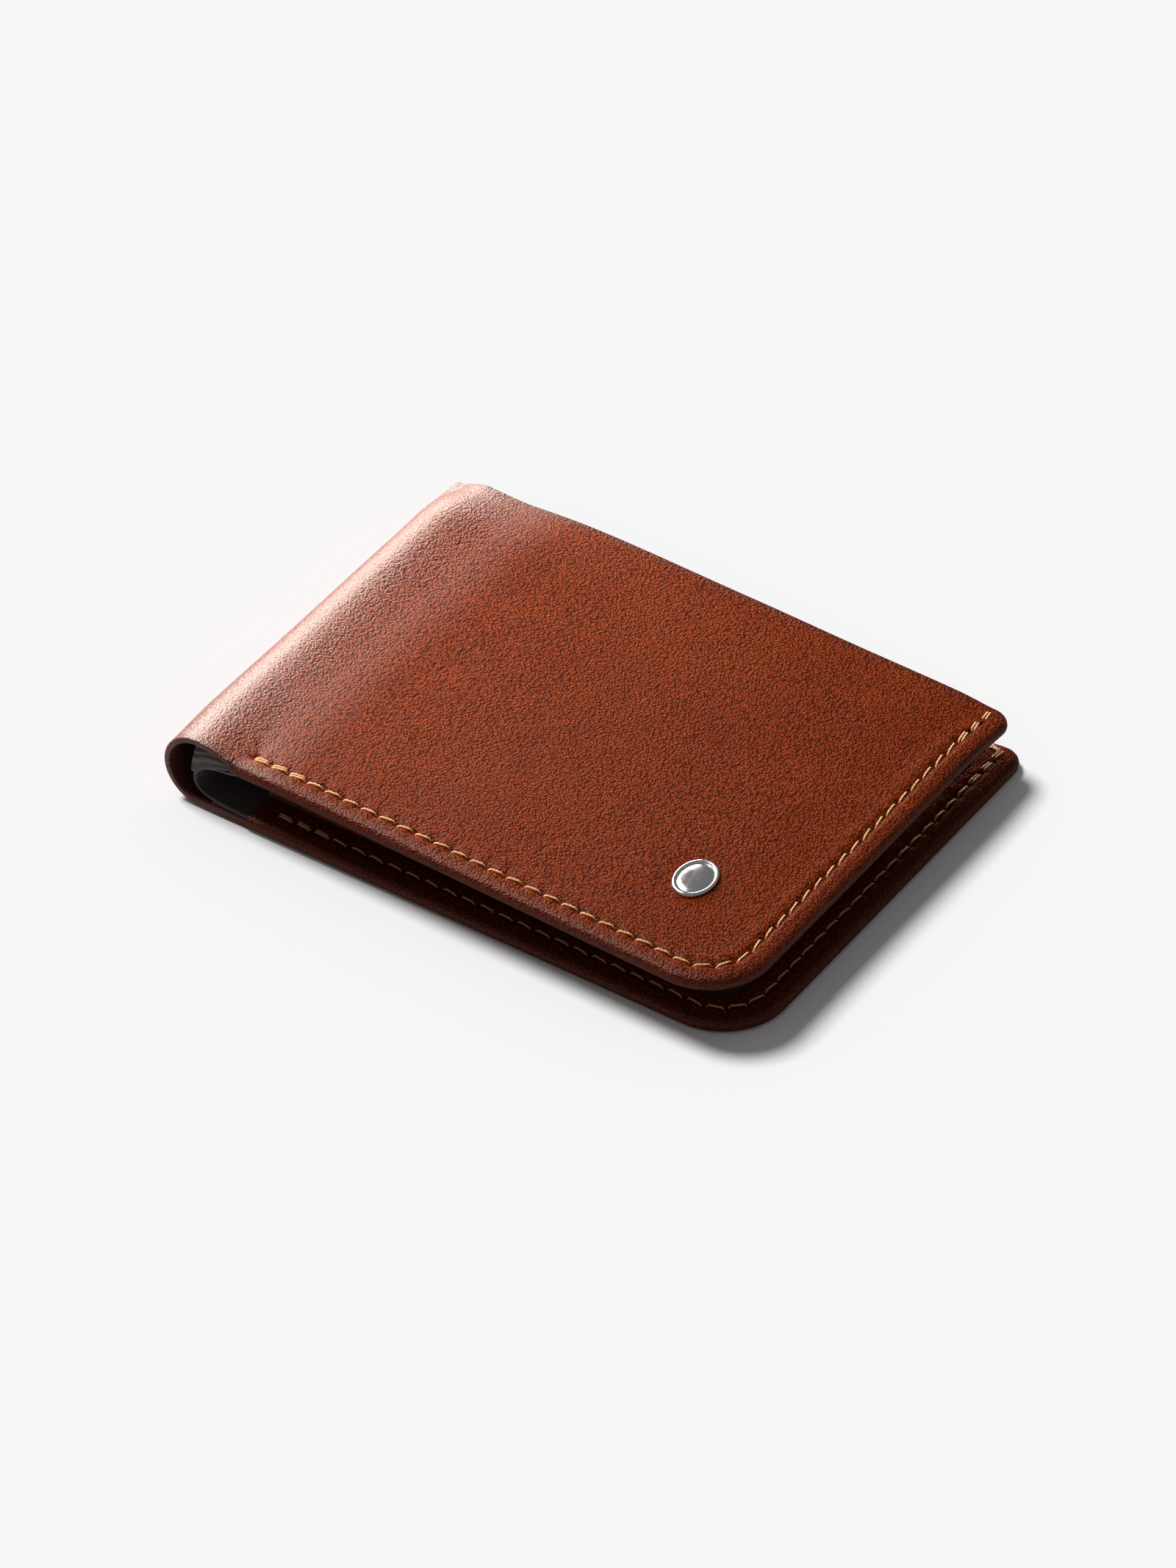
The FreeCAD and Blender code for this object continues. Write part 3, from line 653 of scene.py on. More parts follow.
def build_rim_seam(half, material):
    """Stitches on both faces of the rim. The first and last three are sewn over twice."""
    rng = np.random.default_rng(SEED + (half.side > 0))
    stitches = Pile()
    runs = np.arange(half.stitches + 1) * half.pitch

    def sew(run, length, slant, offset, inner_face):
        def centre_at(along, across, lift):
            at = [seam_point(half, run + a) for a in along]
            spot, heading = np.array([p[0] for p in at]), np.array([p[1] for p in at])
            px = spot[:, 0] - heading[:, 1] * (across + offset)
            py = spot[:, 1] + heading[:, 0] * (across + offset)
            return on_half(half, px, py, RIM - 0.02 + lift if inner_face else 0.05 - lift)

        stitches.add(stitch_strands(centre_at, length, slant, rng.uniform(0, 6.3), 3, 11, 5, 0.55))

    def tack(centre, direction, length):
        def centre_at(along, across, lift):
            px = centre[0] + along * math.cos(direction) - across * math.sin(direction)
            py = centre[1] + along * math.sin(direction) + across * math.cos(direction)
            return on_half(half, px, py, RIM + 0.06 + lift)

        stitches.add(stitch_strands(centre_at, length, 0.0, rng.uniform(0, 6.3), 3, 11, 5, 0.5))

    for index, run in enumerate(runs):
        doubled = index < 3 or index >= len(runs) - 3
        for inner_face in (False, True):
            slant = rng.normal(0.13, 0.03) * (-1 if inner_face else 1)
            length = STITCH_LENGTH + rng.normal(0, 0.06)
            if doubled:
                sew(run, length, slant, 0.24, inner_face)
                sew(run + 0.12, length, slant + 0.04, -0.24, inner_face)
            else:
                sew(run, length, slant, rng.normal(0, 0.03), inner_face)
    if half.side < 0:
        corner = np.array([half.length - SEAM_INSET, half.back - SEAM_END])
        for du, dy, degrees, length in ((-0.4, 0.7, 100, 1.9), (-1.3, 1.2, 160, 2.4), (-1.2, 0.8, 172, 2.3),
                                        (-3.9, 1.1, 178, 2.4), (-3.8, 0.65, 186, 2.3), (-2.5, 0.1, 140, 1.8)):
            tack(corner + (du, dy), math.radians(degrees), length)
    seam = mesh_object("thread_rim_" + half.name, stitches.points, stitches.faces, materials=[material],
                       sharp=70)
    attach(seam, half.body)
    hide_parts("rim_seam_" + half.name)


# ---------------------------------------------------------------- pockets and linings


def rounded_sheet(name, half, u_range, y_range, level, thickness, corner, relief, material, edge_round=0.16,
                  spacing=1.1):
    """A closed sheet on one half with rounded edges; corner rounds its front corner at the free edge."""
    u0, u1 = u_range
    y0, y1 = y_range
    edge = np.array([0, 0.03, 0.08, 0.16, 0.35, 0.8, 1.1, 1.4, 1.8])
    length = u1 - u0
    ys = np.concatenate([y0 + edge, np.arange(y0 + 2.4, y1 - 2.2, spacing), y1 - edge[::-1]])
    between = np.linspace(2.4, length - 2.4, int(length / spacing))
    steps = np.concatenate([edge / length, between / length, 1 - edge[::-1] / length])
    span = np.full(len(ys), length)
    if corner:
        short = np.clip(corner - (ys - y0), 0, corner)
        span = span - (corner - np.sqrt(corner ** 2 - short ** 2))
    u = u0 + steps[:, None] * span[None, :]
    y = np.repeat(ys[None, :], len(steps), 0)
    inset = np.minimum(np.minimum(u - u0, u0 + span[None, :] - u), np.minimum(y - y0, y1 - y))
    inset = np.maximum(inset, 0)
    to_round = np.clip(edge_round - inset, 0, None)
    rounding = edge_round - np.sqrt(np.clip(edge_round ** 2 - to_round ** 2, 0, None))
    top = level + thickness - rounding + relief(u, y, inset)
    bottom = level + rounding * 0.8 + relief(u, y, inset) * 0.6
    points, faces = closed_grid([on_half(half, u, y, depth) for depth in (top, bottom)])
    return mesh_object(name, points, faces, materials=[material], sharp=50)


def build_pockets(half, materials):
    """Facing, three stepped card pockets and the bound note edge, with their seam."""
    leather, thread = materials["inner_leather"], materials["thread"]
    start, end = POCKET_START, half.length - POCKET_MARGIN
    front = POCKET_MARGIN - HALF_WIDTH
    corner = FRONT_CORNER - 0.3
    seed = 20 + half.side
    stitches = Pile()
    rng = np.random.default_rng(SEED + 3 + half.side)

    def facing_relief(u, y, inset):
        return 0.05 * ripple(u, y, 19, seed) * smooth(inset / 4)

    def plain(u, y, inset):
        return 0 * u

    board = rounded_sheet("backing_" + half.name, half, (start, half.length - BOARD_MARGIN),
                          (BOARD_MARGIN - HALF_WIDTH, 41.0), BOARD_LEVEL, CLOTH, FRONT_CORNER - BOARD_MARGIN,
                          plain, materials["backing_board"], edge_round=0.05, spacing=3.0)
    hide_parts("pocket_backing_" + half.name)
    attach(board, half.body)

    facing = rounded_sheet("facing_" + half.name, half, (start, end), (front, 41.2), FACING_LEVEL,
                           POCKET_LEATHER, corner, facing_relief, leather)
    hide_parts("pocket_facing_" + half.name)
    made = [facing]
    for number, mouth in enumerate(POCKET_MOUTHS, 1):
        def relief(u, y, inset, mouth=mouth, number=number):
            arch = np.sin(np.pi * np.clip((u - start) / (end - start), 0, 1))
            crease = -0.13 * bump(y, mouth - 1.5, 0.28)
            swell = 0.10 * smooth((mouth - y) / 4) * smooth((y - front) / 12) * arch
            lip = 0.16 * bump(y, mouth, 2.2) * arch ** 0.7
            return crease + swell + lip + 0.04 * ripple(u, y, 15, seed + number) * smooth(inset / 4)

        pocket = rounded_sheet(f"card_pocket_{half.name}_{number}", half, (start, end), (front, mouth),
                               FACING_LEVEL + POCKET_STEP * number, POCKET_LEATHER, corner, relief, leather)
        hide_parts(f"card_pocket_{half.name}_{number}")
        made.append(pocket)

    def binding_relief(u, y, inset):
        return 0.08 * ripple(u, y, 9, seed + 9) - 0.10 * bump(y, 37.2, 0.3)

    binding = rounded_sheet("binding_" + half.name, half, (start - 0.1, half.length - 6.9), (36.0, 42.4),
                            1.36, 1.45, 0, binding_relief, leather, edge_round=0.6)
    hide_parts("note_edge_binding_" + half.name)
    made.append(binding)
    for piece in made:
        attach(piece, half.body)

    def level(y):
        steps = sum(POCKET_STEP * smooth((mouth - y) / 0.5 + 0.5) for mouth in POCKET_MOUTHS)
        return FACING_LEVEL + POCKET_LEATHER + steps

    for run in np.arange(front + 2.6, 34.0, STITCH_PITCH):
        def centre_at(along, across, lift, run=run):
            y = run + along
            return on_half(half, start + 2.0 + across, y, level(y) + lift + 0.05)

        stitches.add(stitch_strands(centre_at, 2.8, rng.normal(0.1, 0.03), rng.uniform(0, 6), 2, 9, 5, 0.5))
    seam = mesh_object("thread_pockets_" + half.name, stitches.points, stitches.faces, materials=[thread],
                       sharp=70)
    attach(seam, half.body)
    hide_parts("pocket_seam_" + half.name)


def build_half_cloth(half, materials):
    """The ribbed lining against the leather and the smooth note wall over it, on one half."""
    seed = 40 + half.side

    def relief(u, y, inset):
        return 0.03 * ripple(u, y, 12, seed)

    front, free_edge = CLOTH_MARGIN - HALF_WIDTH, half.length - CLOTH_MARGIN
    corner = FRONT_CORNER - CLOTH_MARGIN
    lining = rounded_sheet("cloth_lining_" + half.name, half, (LINING_START, free_edge),
                           (front, LINING_BACK), LINING_LEVEL, CLOTH, corner, relief,
                           materials["ribbed_lining"], CLOTH_ROUND, CLOTH_SPACING)
    wall = rounded_sheet("cloth_note_wall_" + half.name, half, (LOOP_REACH - 0.02, free_edge),
                         (front, WALL_BACK), WALL_LEVEL, CLOTH, corner, relief,
                         materials["grey_lining"], CLOTH_ROUND, CLOTH_SPACING)
    for piece, node, slot in ((lining, "cover_lining_", "ribbed_lining"),
                              (wall, "note_wall_", "grey_lining")):
        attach(piece, half.body)
        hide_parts(node + half.name)
    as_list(lining.name)


# Section of the slack note wall in the fold, from the lower half round to the upper one, as
# distances right of the fold's centre and above the floor.
LOOP_SECTION = [(8.9, 1.50), (6.4, 1.62), (3.9, 1.88), (1.6, 2.30), (-0.25, 3.1), (-1.25, 4.5), (-1.15, 6.4),
                (0.35, 8.0), (2.8, 9.3), (5.6, 10.4), (8.6, 11.6)]


def loop_curve():
    """Even points along the loop's section, lying on the halves at both ends."""
    first = place(-(ARC_END + LOOP_REACH), 0, 1.47)
    last = place(ARC_END + LOOP_REACH, 0, 1.47)
    knots = [(first[0], first[2])] + [(FOLD_X + x, z) for x, z in LOOP_SECTION] + [(last[0], last[2])]
    knots = np.array([(2 * knots[0][0] - knots[1][0], knots[0][1])] + knots
                     + [(2 * knots[-1][0] - knots[-2][0], knots[-1][1])])
    fine = []
    for i in range(1, len(knots) - 2):
        p0, p1, p2, p3 = knots[i - 1:i + 3]
        for t in np.linspace(0, 1, 40, endpoint=False):
            fine.append(0.5 * (2 * p1 + (p2 - p0) * t + (2 * p0 - 5 * p1 + 4 * p2 - p3) * t ** 2
                               + (3 * p1 - p0 - 3 * p2 + p3) * t ** 3))
    fine.append(knots[-2])
    return np.array(fine)


def build_loop(materials):
    """The note wall where it passes through the fold, in one strip for each hinge."""
    curve = loop_curve()
    run = np.concatenate([[0], np.cumsum(np.linalg.norm(np.diff(curve, axis=0), axis=1))])
    total = run[-1]
    count = len(HINGES)
    end_run = 6.0
    ends = np.linspace(0, 1, count + 1) * (total - 2 * end_run) + end_run
    ends[0], ends[-1] = 0, total
    ys = np.concatenate([1.25 - HALF_WIDTH + np.array([0, 0.04, 0.14, 0.3, 0.5, 0.8, 1.2, 1.8, 2.6]),
                         np.arange(-37.5, 36, 2.0), [38, 39.5, 40.2, 40.5, 40.6]])
    front = ys - ys[0]
    for k in range(count):
        at = np.concatenate([[ends[k], ends[k] + 0.03],
                             np.linspace(ends[k] + 0.03, ends[k + 1] - 0.03, 22)[1:-1],
                             [ends[k + 1] - 0.03, ends[k + 1]]])
        x, z = np.interp(at, run, curve[:, 0]), np.interp(at, run, curve[:, 1])
        dx = np.interp(at + 0.2, run, curve[:, 0]) - np.interp(at - 0.2, run, curve[:, 0])
        dz = np.interp(at + 0.2, run, curve[:, 1]) - np.interp(at - 0.2, run, curve[:, 1])
        size = np.hypot(dx, dz)
        nx, nz = -dz / size, dx / size
        inside = smooth(at / 5) * smooth((total - at) / 5)
        wave = (0.35 * inside[:, None] * ripple(at[:, None] * 1.2, ys[None, :], 30, 77)
                * smooth(front / 14)[None, :])
        wave = wave + 0.6 * inside[:, None] * smooth((ys + 10) / 60)[None, :]
        half_thick = np.maximum(0.1, 0.26 * np.exp(-((front - 0.25) / 0.33) ** 2))
        half_thick[[0, -1]] = 0.02
        surfaces = []
        for sign in (1, -1):
            off = sign * half_thick[None, :] + wave
            px, pz = x[:, None] + nx[:, None] * off, z[:, None] + nz[:, None] * off
            py = np.repeat(ys[None, :], len(at), 0)
            over = ARC_END + np.maximum(px - FOLD_X, -4)
            under_top = smooth((pz - 4.5) / 6) * (px > FOLD_X - 4)
            pz = pz - (sheet_sag(over, py) + corner_drop(over, py)) * under_top
            surfaces.append(np.stack([px, py, pz], -1))
        points, faces = closed_grid(surfaces)
        piece = mesh_object(f"cloth_loop_{k + 1}", points, faces, materials=[materials["grey_lining"]],
                            sharp=70)
        first, last = (np.array([np.interp(end, run, curve[:, 0]), 0, np.interp(end, run, curve[:, 1])])
                       for end in (ends[k], ends[k + 1]))
        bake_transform(piece)
        if k:
            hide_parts(f"note_wall_spine_{k}")


def build_lining_flap(materials):
    """The ribbed lining where it comes down from the upper half to the note wall, at the bottom edge."""
    curve = loop_curve()
    top = curve[int(np.argmin(curve[:, 0])):]
    x = np.linspace(FOLD_X - 2.4, FOLD_X + 7.0, 20)
    t = np.linspace(0, 1, 12)
    s = ARC_END + (x - FOLD_X)
    start = place(s, -36.0, LEATHER + 0.12)
    end_z = np.interp(x, top[:, 0], top[:, 1]) - 0.15
    end_z[x < top[0, 0] + 0.4] = np.interp(top[0, 0] + 0.4, top[:, 0], top[:, 1]) - 0.15
    y = start[:, 1][:, None] + (-41.3 - start[:, 1][:, None]) * np.sin(t * math.pi / 2)[None, :]
    z = start[:, 2][:, None] + (end_z - start[:, 2])[:, None] * (1 - np.cos(t * math.pi / 2))[None, :]
    z = z + 0.12 * ripple(x[:, None] * 2, y, 6, 91)
    across = np.repeat(start[:, 0][:, None], len(t), 1)
    points, faces = closed_grid([np.stack([across, y - lift * 0.5, z + lift], -1) for lift in (0.1, -0.1)])
    flap = mesh_object("cloth_lining_flap", points, faces, materials=[materials["ribbed_lining"]], sharp=70)
    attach(flap, "upper_half")


# ---------------------------------------------------------------- emblem


def build_emblem(materials):
    """A plain polished oval badge: a domed face inside a raised rim, its foot sunk in the leather."""
    low, high = (np.array(corner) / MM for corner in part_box("emblem"))
    centre = (low + high) / 2
    u0, y0 = (centre[0] - FOLD_X) / math.cos(TILT), centre[1]
    half_x, half_y = (high[0] - low[0]) / 2, (high[1] - low[1]) / 2
    profile = [(0.0, 0.98), (0.12, 0.975), (0.25, 0.955), (0.38, 0.92), (0.50, 0.86), (0.60, 0.79),
               (0.68, 0.70), (0.735, 0.60), (0.765, 0.52), (0.785, 0.50), (0.805, 0.53), (0.825, 0.64),
               (0.85, 0.74), (0.875, 0.79), (0.905, 0.80), (0.935, 0.77), (0.965, 0.69), (0.985, 0.57),
               (0.997, 0.42), (1.0, 0.25), (1.0, 0.05), (1.0, -0.35)]
    sides = 96
    turn = np.arange(sides) / sides * 2 * math.pi
    points, faces = [], []
    for radius, height in profile[1:]:
        u = u0 + half_x * radius * np.cos(turn)
        y = y0 + half_y * radius * np.sin(turn)
        points.extend(on_half(UPPER, u, y, 0.22 - height))
    top, bottom = len(points), len(points) + 1
    points.append(on_half(UPPER, u0, y0, 0.22 - profile[0][1]))
    points.append(on_half(UPPER, u0, y0, 0.22 - profile[-1][1]))
    rows = len(profile) - 1
    for j in range(sides):
        k = (j + 1) % sides
        faces.append([top, j, k])
        for i in range(rows - 1):
            faces.append([i * sides + j, (i + 1) * sides + j, (i + 1) * sides + k, i * sides + k])
        faces.append([(rows - 1) * sides + j, bottom, (rows - 1) * sides + k])
    badge = mesh_object("emblem_badge", points, faces, materials=[materials["polished_metal"]], sharp=60)
    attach(badge, "upper_half")
    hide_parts("emblem")


# ---------------------------------------------------------------- materials


class Nodes:
    """A material's node tree with short names for what is built from it."""

    def __init__(self, name):
        self.material = bpy.data.materials.new(name)
        self.material.use_nodes = True
        self.tree = self.material.node_tree
        self.shader = self.tree.nodes["Principled BSDF"]
        self.coordinates = self.add("ShaderNodeTexCoord").outputs["Object"]

    def add(self, kind, inputs=None, **settings):
        node = self.tree.nodes.new(kind)
        for key, value in settings.items():
            setattr(node, key, value)
        for key, value in (inputs or {}).items():
            self.link(value, node.inputs[key])
        return node

    def link(self, value, socket):
        if isinstance(value, bpy.types.NodeSocket):
            self.tree.links.new(value, socket)
        else:
            socket.default_value = value

    def set(self, **inputs):
        for key, value in inputs.items():
            self.link(value, self.shader.inputs[key.replace("_", " ")])

    def stretch(self, x, y, z):
        """Object coordinates in millimetres, stretched."""
        inputs = {"Vector": self.coordinates, "Scale": (x / MM, y / MM, z / MM)}
        return self.add("ShaderNodeMapping", inputs).outputs[0]

    def noise(self, size, detail=3.0, rough=0.5, distortion=0.0, vector=None):
        vector = vector or self.stretch(1, 1, 1)
        return self.add("ShaderNodeTexNoise", {"Vector": vector, "Scale": 1 / size, "Detail": detail,
                                               "Roughness": rough, "Distortion": distortion}).outputs["Fac"]

    def maths(self, operation, a, b=0.0):
        node = self.add("ShaderNodeMath", operation=operation)
        self.link(a, node.inputs[0])
        self.link(b, node.inputs[1])
        return node.outputs[0]

    def ramp(self, value, *stops):
        """Colours or grey levels at places along a value."""
        node = self.add("ShaderNodeValToRGB", {"Fac": value})
        elements = node.color_ramp.elements
        while len(elements) < len(stops):
            elements.new(0.5)
        for element, (place_at, colour) in zip(elements, stops):
            element.position = place_at
            element.color = colour if len(colour) == 4 else (*colour, 1)
        return node.outputs["Color"]

    def mix(self, factor, a, b):
        node = self.add("ShaderNodeMix", data_type="RGBA")
        self.link(factor, node.inputs["Factor"])
        self.link(a, node.inputs["A"])
        self.link(b, node.inputs["B"])
        return node.outputs["Result"]

    def bump(self, height, distance, strength=1.0):
        inputs = {"Height": height, "Distance": distance * MM, "Strength": strength}
        return self.add("ShaderNodeBump", inputs).outputs["Normal"]


def rgb(red, green, blue):
    """A display colour, 0 to 255, as linear light."""
    values = (v / 255 for v in (red, green, blue))
    return tuple(v / 12.92 if v <= 0.04045 else ((v + 0.055) / 1.055) ** 2.4 for v in values) + (1.0,)


def grey(level):
    return (level, level, level, 1.0)


def grain_height(nodes, size):
    """Pebbled hide: small rounded cells drawn out into short wandering creases."""
    wander = nodes.add("ShaderNodeCombineXYZ", {
        "X": nodes.maths("MULTIPLY", nodes.noise(size * 2, 1.0), size * 1.2),
        "Y": nodes.maths("MULTIPLY", nodes.noise(size * 1.6, 1.0), size * 1.2)}).outputs[0]
    place_at = nodes.add("ShaderNodeVectorMath", {0: nodes.stretch(1, 1, 1), 1: wander},
                         operation="ADD").outputs[0]
    cells = nodes.add("ShaderNodeTexVoronoi", {"Vector": place_at, "Scale": 1 / size, "Smoothness": 0.25},
                      feature="SMOOTH_F1").outputs["Distance"]
    small = nodes.add("ShaderNodeTexVoronoi", {"Vector": place_at, "Scale": 1.9 / size}).outputs["Distance"]
    height = nodes.maths("SUBTRACT", 1.0, cells)
    return nodes.maths("SUBTRACT", height, nodes.maths("MULTIPLY", small, 0.45))


def outer_leather():
    """Waxed grain leather, painted darker between the pebbles as painted shade and lighter on their tops as a
    painted glint; its coat is burnished bright where it bends round the spine.
    """
    nodes = Nodes("outer_leather")
    height = grain_height(nodes, 0.46)
    tone = nodes.noise(16, 3.0, 0.55)
    mottle = nodes.noise(2.4, 4.0, 0.6)
    base = nodes.ramp(tone, (0.30, rgb(108, 41, 12)), (0.72, rgb(118, 48, 15)))
    base = nodes.mix(nodes.maths("MULTIPLY", mottle, 0.35), base, rgb(80, 23, 4))
    # Painted shade: the grain's valleys are darkened towards a near-black brown.
    crease = nodes.ramp(height, (0.05, grey(1)), (0.45, grey(0)))
    base = nodes.mix(nodes.maths("MULTIPLY", crease, 0.66), base, rgb(36, 8, 2))
    # Painted glint: the pebbles' tops are lightened towards a bright orange-brown.
    crown = nodes.ramp(height, (0.52, grey(0)), (0.82, grey(1)))
    base = nodes.mix(nodes.maths("MULTIPLY", crown, 0.55), base, rgb(164, 84, 40))
    edge = nodes.add("ShaderNodeAttribute", attribute_name="inset").outputs["Fac"]
    near_edge = nodes.ramp(nodes.maths("DIVIDE", edge, 4.0), (0.05, grey(1)), (0.62, grey(0)))
    base = nodes.mix(nodes.maths("MULTIPLY", near_edge, 0.55), base, rgb(56, 13, 5))
    rough = nodes.ramp(nodes.noise(5, 4.0, 0.6), (0.25, grey(0.32)), (0.8, grey(0.40)))
    rough = nodes.mix(nodes.maths("MULTIPLY", near_edge, 0.6), rough, grey(0.24))
    normal = nodes.bump(height, 0.50, 1.0)
    nodes.set(Base_Color=base, Roughness=rough, Normal=normal, Specular_IOR_Level=0.0)
    at = nodes.add("ShaderNodeSeparateXYZ", {"Vector": nodes.stretch(1, 1, 1)}).outputs
    from_fold = nodes.maths("DIVIDE", nodes.maths("SUBTRACT", at["X"], FOLD_X), 30.0)
    burnished = nodes.ramp(from_fold, (0.03, grey(0.78)), (0.28, grey(0.26)), (0.62, grey(0.08)))
    coat = nodes.mix(nodes.maths("MULTIPLY", near_edge, 0.35), burnished, grey(0.5))
    nodes.set(Coat_Weight=coat, Coat_Roughness=0.36, Coat_Normal=nodes.bump(height, 0.09, 1.0))
    return nodes.material


def flesh_side():
    """The leather's fibrous back."""
    nodes = Nodes("leather_flesh_side")
    fibres = nodes.noise(0.35, 6.0, 0.7, 0.6, nodes.stretch(1, 0.45, 1))
    base = nodes.ramp(fibres, (0.3, rgb(48, 17, 10)), (0.75, rgb(84, 34, 20)))
    base = nodes.mix(nodes.maths("MULTIPLY", nodes.noise(6, 3.0), 0.5), base, rgb(40, 15, 10))
    nodes.set(Base_Color=base, Roughness=0.62, Normal=nodes.bump(fibres, 0.06, 0.8), Specular_IOR_Level=0.35)
    return nodes.material


def raw_edge():
    """The cut edge of the leather."""
    nodes = Nodes("leather_raw_edge")
    fibres = nodes.noise(0.22, 5.0, 0.7, 0.4)
    base = nodes.ramp(fibres, (0.3, rgb(92, 40, 20)), (0.75, rgb(158, 88, 48)))
    nodes.set(Base_Color=base, Roughness=0.6, Normal=nodes.bump(fibres, 0.05, 0.7))
    return nodes.material


def inner_leather():
    """The darker, finer leather of the pockets."""
    nodes = Nodes("inner_leather")
    height = grain_height(nodes, 0.45)
    base = nodes.ramp(nodes.noise(11, 3.0), (0.3, rgb(84, 29, 12)), (0.75, rgb(112, 42, 18)))
    base = nodes.mix(nodes.maths("MULTIPLY", nodes.noise(1.8, 4.0), 0.45), base, rgb(62, 20, 9))
    rough = nodes.ramp(nodes.noise(4, 3.0), (0.3, grey(0.45)), (0.8, grey(0.58)))
    nodes.set(Base_Color=base, Roughness=rough, Normal=nodes.bump(height, 0.05, 0.7))
    return nodes.material


def woven(name, dark, light, rib, across_rib, depth, rough):
    """Ribbed or plain cloth: cords across the width with fine threads over them."""
    nodes = Nodes(name)
    cords = nodes.add("ShaderNodeTexWave", {"Vector": nodes.stretch(0.02, 1, 0.25), "Scale": 0.314 / rib,
                                            "Distortion": 0.35, "Detail": 2.0, "Detail Scale": 1.5},
                      bands_direction="Y").outputs["Fac"]
    threads = nodes.add("ShaderNodeTexWave", {"Vector": nodes.stretch(1, 0.02, 0.9), "Distortion": 0.5,
                                              "Scale": 0.314 / across_rib, "Detail": 1.0},
                        bands_direction="X").outputs["Fac"]
    height = nodes.maths("ADD", cords, nodes.maths("MULTIPLY", threads, 0.35))
    fuzz = nodes.noise(0.12, 3.0, 0.6)
    # Painted shade: the cloth is darker between the cords and lighter on them, mottled at random by the fuzz.
    painted_shade_and_fuzz = nodes.maths("ADD", nodes.maths("MULTIPLY", height, 0.6), nodes.maths("MULTIPLY", fuzz, 0.3))
    base = nodes.ramp(painted_shade_and_fuzz, (0.15, dark), (0.85, light))
    base = nodes.mix(nodes.maths("MULTIPLY", nodes.noise(7, 3.0), 0.4), base, dark)
    nodes.set(Base_Color=base, Roughness=rough, Normal=nodes.bump(height, depth, 0.8))
    nodes.set(Sheen_Weight=0.25, Sheen_Roughness=0.45, Specular_IOR_Level=0.3)
    return nodes.material


def thread_material():
    nodes = Nodes("golden_thread")
    fibres = nodes.noise(0.07, 4.0, 0.65, 0.3)
    base = nodes.ramp(fibres, (0.25, rgb(148, 98, 50)), (0.6, rgb(206, 156, 100)), (0.85, rgb(232, 194, 144)))
    base = nodes.mix(nodes.maths("MULTIPLY", nodes.noise(3, 2.0), 0.45), base, rgb(158, 92, 44))
    nodes.set(Base_Color=base, Roughness=0.48, Normal=nodes.bump(fibres, 0.02, 0.6), Sheen_Weight=0.2)
    return nodes.material


def polished_metal():
    nodes = Nodes("polished_metal")
    brushed = nodes.noise(0.25, 4.0, 0.6, 0.0, nodes.stretch(1, 6, 1))
    base = nodes.ramp(brushed, (0.3, rgb(196, 196, 198)), (0.8, rgb(228, 228, 228)))
    rough = nodes.ramp(nodes.noise(0.9, 4.0), (0.3, grey(0.14)), (0.8, grey(0.26)))
    nodes.set(Base_Color=base, Roughness=rough, Metallic=1.0, Normal=nodes.bump(brushed, 0.006, 0.4))
    return nodes.material


def backing_metal():
    nodes = Nodes("backing_metal")
    marks = nodes.noise(0.4, 5.0, 0.65, 0.4)
    base = nodes.ramp(marks, (0.3, rgb(120, 118, 112)), (0.8, rgb(168, 166, 160)))
    nodes.set(Base_Color=base, Roughness=0.42, Metallic=1.0, Normal=nodes.bump(marks, 0.02, 0.5))
    return nodes.material


def backing_board():
    nodes = Nodes("backing_board")
    fibres = nodes.noise(0.5, 6.0, 0.7, 0.8)
    base = nodes.ramp(fibres, (0.3, rgb(44, 40, 38)), (0.8, rgb(74, 66, 60)))
    nodes.set(Base_Color=base, Roughness=0.8, Normal=nodes.bump(fibres, 0.05, 0.7))
    return nodes.material


# ---------------------------------------------------------------- build the wallet

MATERIALS = {
    "outer_leather": outer_leather(),
    "flesh": flesh_side(),
    "raw": raw_edge(),
    "inner_leather": inner_leather(),
    "ribbed_lining": woven("ribbed_lining", rgb(24, 19, 18), rgb(112, 98, 90), 0.55, 0.3, 0.12, 0.7),
    "grey_lining": woven("grey_lining", rgb(44, 36, 37), rgb(88, 74, 75), 0.2, 0.18, 0.015, 0.55),
    "thread": thread_material(),
    "polished_metal": polished_metal(),
    "backing_metal": backing_metal(),
    "backing_board": backing_board(),
}
COVER_MATERIALS = [MATERIALS["outer_leather"], MATERIALS["flesh"], MATERIALS["raw"]]

hinge_s = [-ARC_END + (k + 0.5) * SEGMENT for k in range(len(HINGES))]


def blend_across(piece, k):
    """Bakes a strip of the cover's transform into its mesh; the points beside hinge k and the hinge's place
    on the cover's line are worked out but not used.
    """
    before, after = (place(hinge_s[k] + side * 0.5, 0, 0) for side in (-1, 1))
    at = HINGES[k].copy()
    at[1] = 0
    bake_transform(piece)


cover_lower, spine_lines = build_cover(LOWER, COVER_MATERIALS)
cover_upper, _ = build_cover(UPPER, COVER_MATERIALS)
middle_1 = build_spine("leather_spine_1", -SEGMENT, 0.0, spine_lines, COVER_MATERIALS)
middle_2 = build_spine("leather_spine_2", 0.0, SEGMENT, spine_lines, COVER_MATERIALS)
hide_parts("cover_lower", "cover_spine_1")
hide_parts("cover_spine_2")
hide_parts("cover_spine_3")
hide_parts("cover_upper")
for number, leather_piece in enumerate((cover_lower, middle_1, middle_2, cover_upper)):
    blend_across(leather_piece, number)

for wallet_half in (LOWER, UPPER):
    build_rim_seam(wallet_half, MATERIALS["thread"])
    build_pockets(wallet_half, MATERIALS)
    build_half_cloth(wallet_half, MATERIALS)
build_loop(MATERIALS)
build_lining_flap(MATERIALS)
build_emblem(MATERIALS)
carried = frame["nodes"]["emblem_backing"]
carried.data.materials.clear()
carried.data.materials.append(MATERIALS["backing_metal"])

# ---------------------------------------------------------------- floor, light and camera


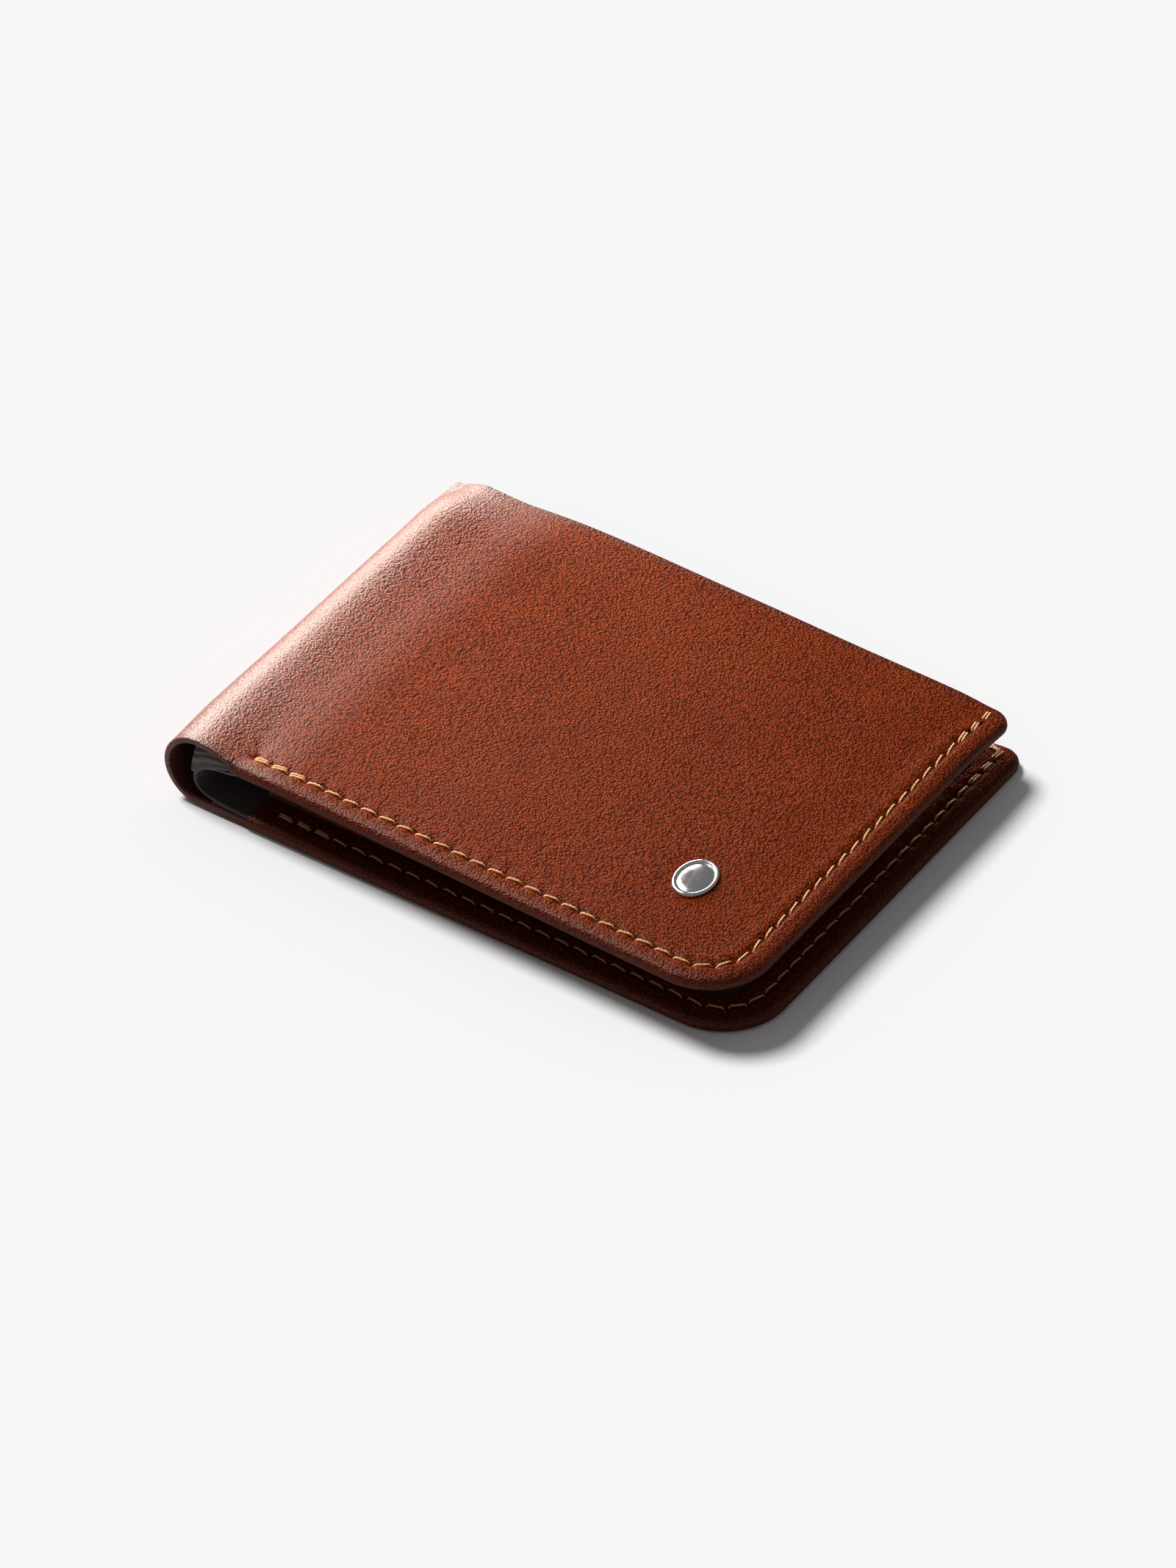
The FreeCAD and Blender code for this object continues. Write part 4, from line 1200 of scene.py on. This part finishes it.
def look_from(azimuth, elevation, roll, distance, across, up):
    """Camera matrix for a view from a direction, in millimetres from the CAD origin."""
    a, e, r = (math.radians(v) for v in (azimuth, elevation, roll))
    back = np.array([math.sin(a) * math.cos(e), -math.cos(a) * math.cos(e), math.sin(e)])
    right = np.array([math.cos(a), math.sin(a), 0])
    upward = np.cross(back, right)
    right, upward = (right * math.cos(r) + upward * math.sin(r), upward * math.cos(r) - right * math.sin(r))
    at = back * distance + right * across + upward * up
    matrix = Matrix.Identity(4)
    for row in range(3):
        matrix[row][0], matrix[row][1], matrix[row][2] = right[row], upward[row], back[row]
        matrix[row][3] = at[row] * MM
    return matrix


floor_nodes = Nodes("studio_floor")
floor_nodes.set(Base_Color=rgb(241, 241, 241), Roughness=0.9, Specular_IOR_Level=0.1)
floor_mesh = bpy.data.meshes.new("floor")
floor_mesh.from_pydata([(-6, -6, 0), (6, -6, 0), (6, 6, 0), (-6, 6, 0)], [], [(0, 1, 2, 3)])
floor_mesh.materials.append(floor_nodes.material)
floor = bpy.data.objects.new("floor", floor_mesh)
floor.location.z = -0.02 * MM
bpy.context.scene.collection.objects.link(floor)

world = bpy.data.worlds.new("studio")
world.use_nodes = True
world.node_tree.nodes["Background"].inputs["Color"].default_value = (1, 1, 1, 1)
world.node_tree.nodes["Background"].inputs["Strength"].default_value = 0.20
bpy.context.scene.world = world

# The soft boxes light the wallet alone, not the floor.
wallet = bpy.data.collections.new("wallet")
for obj in bpy.data.objects:
    if obj.type == "MESH" and obj is not floor:
        wallet.objects.link(obj)


def lamp(name, kind, azimuth, elevation, distance, energy):
    """A light that shines on the wallet from a direction."""
    data = bpy.data.lights.new(name, kind)
    data.energy = energy
    obj = bpy.data.objects.new(name, data)
    a, e = math.radians(azimuth), math.radians(elevation)
    direction = Vector((math.cos(a) * math.cos(e), math.sin(a) * math.cos(e), math.sin(e)))
    obj.location = direction * distance
    obj.rotation_euler = direction.to_track_quat("Z", "Y").to_euler()
    bpy.context.scene.collection.objects.link(obj)
    return obj


def softbox(name, azimuth, elevation, distance, size, power):
    """A warm square light that reaches only the wallet, so that the floor stays even."""
    box = lamp(name, "AREA", azimuth, elevation, distance, power)
    box.data.size = size
    box.data.color = (1.0, 0.88, 0.80)
    box.light_linking.receiver_collection = wallet


lamp("key", "SUN", 178, 58, 0, 3.2).data.angle = math.radians(17)
softbox("wall", 141, 8, 0.30, 0.22, 2.3)
softbox("side", 178, 39, 0.192, 0.12, 0.8)

camera_data = bpy.data.cameras.new("camera")
camera_data.sensor_fit = "VERTICAL"
camera_data.sensor_height = 36
camera_data.lens = 181.5
camera_data.clip_end = 20
camera = bpy.data.objects.new("camera", camera_data)
camera.matrix_world = look_from(33.77, 41.19, 0.55, 1302.14, -0.16, -0.79)
camera.location.x -= 0.75 * MM
bpy.context.scene.collection.objects.link(camera)
bpy.context.scene.camera = camera
bpy.context.scene.view_settings.view_transform = "Standard"
